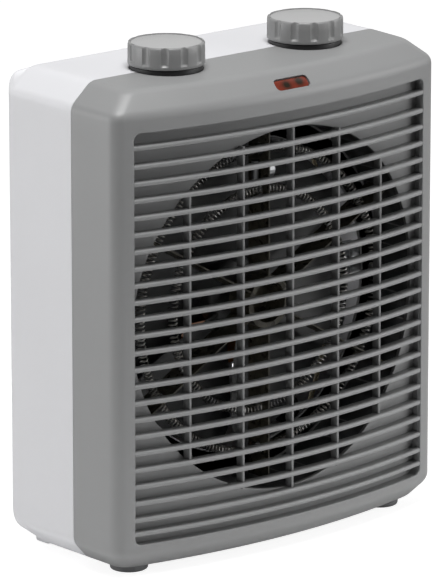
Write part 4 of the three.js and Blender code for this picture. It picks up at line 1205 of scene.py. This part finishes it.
WIRE = {"radius": 0.42 * MM, "pitch": 2.3 * MM}
for name in ("outer_coil", "inner_coil"):
    path = coil_points(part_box(name), WIRE["radius"], WIRE["pitch"])
    piece(f"{name}_wire", strand(path, WIRE["radius"], 5, closed=True), "element_wire",
          stands_for=[name], sharp=180)
    print(name, len(path), "points")

# %% [markdown]
# ## The fan
# Six broad blades grow out of a domed hub. Each blade is a sheet whose pitch eases off towards the
# tip, thickened afterwards, because that is how its air load is shared out along it.

# %% Impeller
fan_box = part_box("fan_impeller")
FAN = {"tip": fan_box[1].x + 1 * MM, "root": 17 * MM, "hub": 19 * MM, "blades": 6,
       "depth": fan_box[1].y - fan_box[0].y}


def blades_shape():
    shape = Shape()
    centre_y = (fan_box[0].y + fan_box[1].y) / 2
    rows, columns, thickness = 14, 12, 1.8 * MM
    for blade in range(FAN["blades"]):
        base = 2 * math.pi * blade / FAN["blades"]
        rings = []
        for row in range(rows + 1):
            t = row / rows
            reach = FAN["root"] + (FAN["tip"] - FAN["root"]) * t
            span = math.radians(72 - 5 * t)
            rise = (FAN["depth"] / 2 - 1.4 * MM) * (1 - 0.25 * t)
            ring = []
            for side in (1, -1):
                for column in range(columns + 1):
                    u = (column / columns * 2 - 1) * side
                    angle = base + span / 2 * u * (1 - 0.12 * (2 * abs(t - 0.5)) ** 4)
                    camber = 1.6 * MM * (1 - u * u)
                    y = centre_y + rise * math.sin(u * math.pi / 2.3) + camber
                    y += side * thickness / 2 * math.sqrt(max(0.0, 1 - u ** 6))
                    ring.append((reach * math.cos(angle), y, AXIS_Z + reach * math.sin(angle)))
            rings.append(ring)
        shape.loft(rings, caps=True)
    return shape


def hub_shape():
    shape = Shape()
    front, back, r = fan_box[0].y + 1 * MM, fan_box[1].y - 1 * MM, FAN["hub"]
    profile = rounded([(3 * MM, back), (r, back), (r, front + 2.5 * MM), (r - 5 * MM, front),
                       (3 * MM, front)], 2.2 * MM, 5)
    shape.turned(profile, Vector((0, 0, AXIS_Z)), 72, "Y")
    return shape


for name, shape in (("fan_blades", blades_shape()), ("fan_hub", hub_shape())):
    piece(name, shape, "fan_plastic", "fan_rotor", ["fan_impeller"],
          sharp=50)
print(FAN["blades"], "blades")

# %% [markdown]
# ## Screws
# All the screws are one design in two lengths: a domed pan head with a cross recess. One function
# makes it at the size and place that the frame gives, and turns it the way its box says it points.

# %% Screws
def screw_shape(box, down):
    """A pan-head screw that fills its box; down means its head points down, else backwards."""
    centre = middle(box)
    across = (box[1].x - box[0].x) / 2
    length = (box[1].z - box[0].z) if down else (box[1].y - box[0].y)
    head, shank = 2.4 * MM, 1.7 * MM
    profile = [(0.2 * MM, 0)] + [
        (across * math.sin(a), head * 0.55 * math.cos(a) - head * 0.55)
        for a in (math.pi / 2 * k / 8 for k in range(1, 9))
    ] + [(across, -head), (shank, -head)]
    turns = max(2, round((length - head) / (1.1 * MM)))
    for k in range(turns):
        z = -head - (length - head) * (k + 0.5) / turns
        profile += [(shank * 0.8, z), (shank, z - 0.3 * MM)]
    profile += [(0.3 * MM, -length), (0.2 * MM, -length)]
    shape = Shape()
    shape.turned(profile, Vector((0, 0, 0)), 32)
    tip = box[0].z if down else box[1].y
    turn = Matrix.Rotation(math.pi, 4, "X") if down else Matrix.Rotation(-math.pi / 2, 4, "X")
    place = Vector((centre.x, centre.y, tip)) if down else Vector((centre.x, tip, centre.z))
    shape.points = [place + turn @ p for p in shape.points]
    return shape


def cross_recess(box, down):
    """Two crossed slots that taper inwards, sunk into the head."""
    centre = middle(box)
    tip = box[0].z if down else box[1].y
    cutters = []
    for wide, thin in ((1.9, 0.42), (0.42, 1.9)):
        shape = Shape()
        rings = []
        for depth, grow in ((1.5 * MM, 0.6), (-0.5 * MM, 1.1)):
            a, b = wide * grow * MM, thin * grow * MM
            if down:
                rings.append([(centre.x + u * a, centre.y + v * b, tip + depth)
                              for u, v in ((-1, -1), (1, -1), (1, 1), (-1, 1))])
            else:
                rings.append([(centre.x + u * a, tip - depth, centre.z + v * b)
                              for u, v in ((-1, -1), (1, -1), (1, 1), (-1, 1))])
        shape.loft(rings, caps=True)
        cutters.append(shape)
    return cutters


for name, box in screw_boxes.items():
    down = name.startswith("bracket")
    made = piece(f"{name}_panhead", screw_shape(box, down), "zinc_steel", stands_for=[name])
    if name.startswith("casing"):
        carve(made, *cross_recess(box, down))
        finish_mesh(made.data, 40)
print(len(screw_boxes), "screws")

# %% [markdown]
# ## What the frame already has
# Brackets, cards, motor parts and leads have the right form as they are. They keep their own solids
# and get a finish, a small bevel so that their edges catch light, and, for the round leads,
# a subdivision that makes them smooth.

# %% Finish the carried-over parts
CARRIED = {
    "zinc_steel": ["control_bracket", "selector_spindle", "thermostat_spindle", "fan_shaft",
                   "impeller_clip", "motor_bridge", "motor_cap", "thermal_cutout",
                   "thermal_fuse"],
    "black_plastic": ["selector_body", "thermostat_body", "cord_gland"],
    "mica": ["element_hub"] + [f"mica_card_{k}" for k in range(1, 7)],
    "lamination": ["motor_stator", "motor_rotor"],
    "copper": ["motor_winding"],
    "dark_steel": ["fan_duct"],
    "cream_plastic": ["terminal_block"],
    "lamp_glass": ["neon_lamp"],
    "cream_sleeve": ["supply_lead", "neutral_lead", "motor_lead", "control_link",
                     "element_lead_1", "element_lead_2"],
}


def finish_carried(node, finish):
    """Gives a carried-over part its finish and softens its edges."""
    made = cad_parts[node]
    made.data.materials.clear()
    made.data.materials.append(FINISHES[finish])
    made.data.shade_smooth()
    made.data.set_sharp_from_angle(angle=math.radians(35))
    if finish == "cream_sleeve":
        soft = made.modifiers.new("soften", "SUBSURF")
        soft.levels = soft.render_levels = 2
    elif finish not in ("mica", "lamp_glass"):
        edge = made.modifiers.new("edge", "BEVEL")
        edge.width, edge.segments, edge.limit_method = 0.25 * MM, 2, "ANGLE"
        edge.angle_limit = math.radians(50)


for finish, nodes in CARRIED.items():
    for node in nodes:
        finish_carried(node, finish)
print(sum(len(nodes) for nodes in CARRIED.values()), "parts carried over")

# %% [markdown]
# ## The floor
# The floor is a sheet of paper on a table. The paper that the camera sees is bright enough to stay
# almost white in the heater's faint shadow. The light that comes back up from the table is another
# matter: under the bevels it has to be dark, so a plain sheet with real shadows on it gives the
# bounce, and each sheet is hidden from the rays that belong to the other.

# %% Floor
PAPER_GLOW = 0.88
TABLE = {"x": (-0.8, 1.0), "y": (-0.45, 1.2), "drop": 0.5 * MM}


def make_sheet(name, x, y, z, finish):
    mesh = bpy.data.meshes.new(name)
    mesh.from_pydata([(x[0], y[0], z), (x[1], y[0], z), (x[1], y[1], z), (x[0], y[1], z)], [],
                     [(0, 1, 2, 3)])
    mesh.materials.append(finish.material)
    sheet = bpy.data.objects.new(name, mesh)
    scene.collection.objects.link(sheet)
    return sheet


def paper_finish(name, level, glow):
    finish = Finish(name, Roughness=0.9, Emission_Color=(1, 1, 1, 1), Emission_Strength=glow)
    cloud = finish.noise(2.0)
    finish.shade(Base_Color=finish.mix(cloud, shaded((1, 1, 1), level * 0.97),
                                       shaded((1, 1, 1), level)))
    return finish


floor = make_sheet("floor", (-25, 25), (-25, 25), 0.0, paper_finish("paper", 0.36, PAPER_GLOW))
floor.visible_diffuse = floor.visible_glossy = floor.visible_shadow = False
table = make_sheet("table", TABLE["x"], TABLE["y"], -TABLE["drop"],
                   paper_finish("table", 0.85, 0.08))
table.visible_camera = False
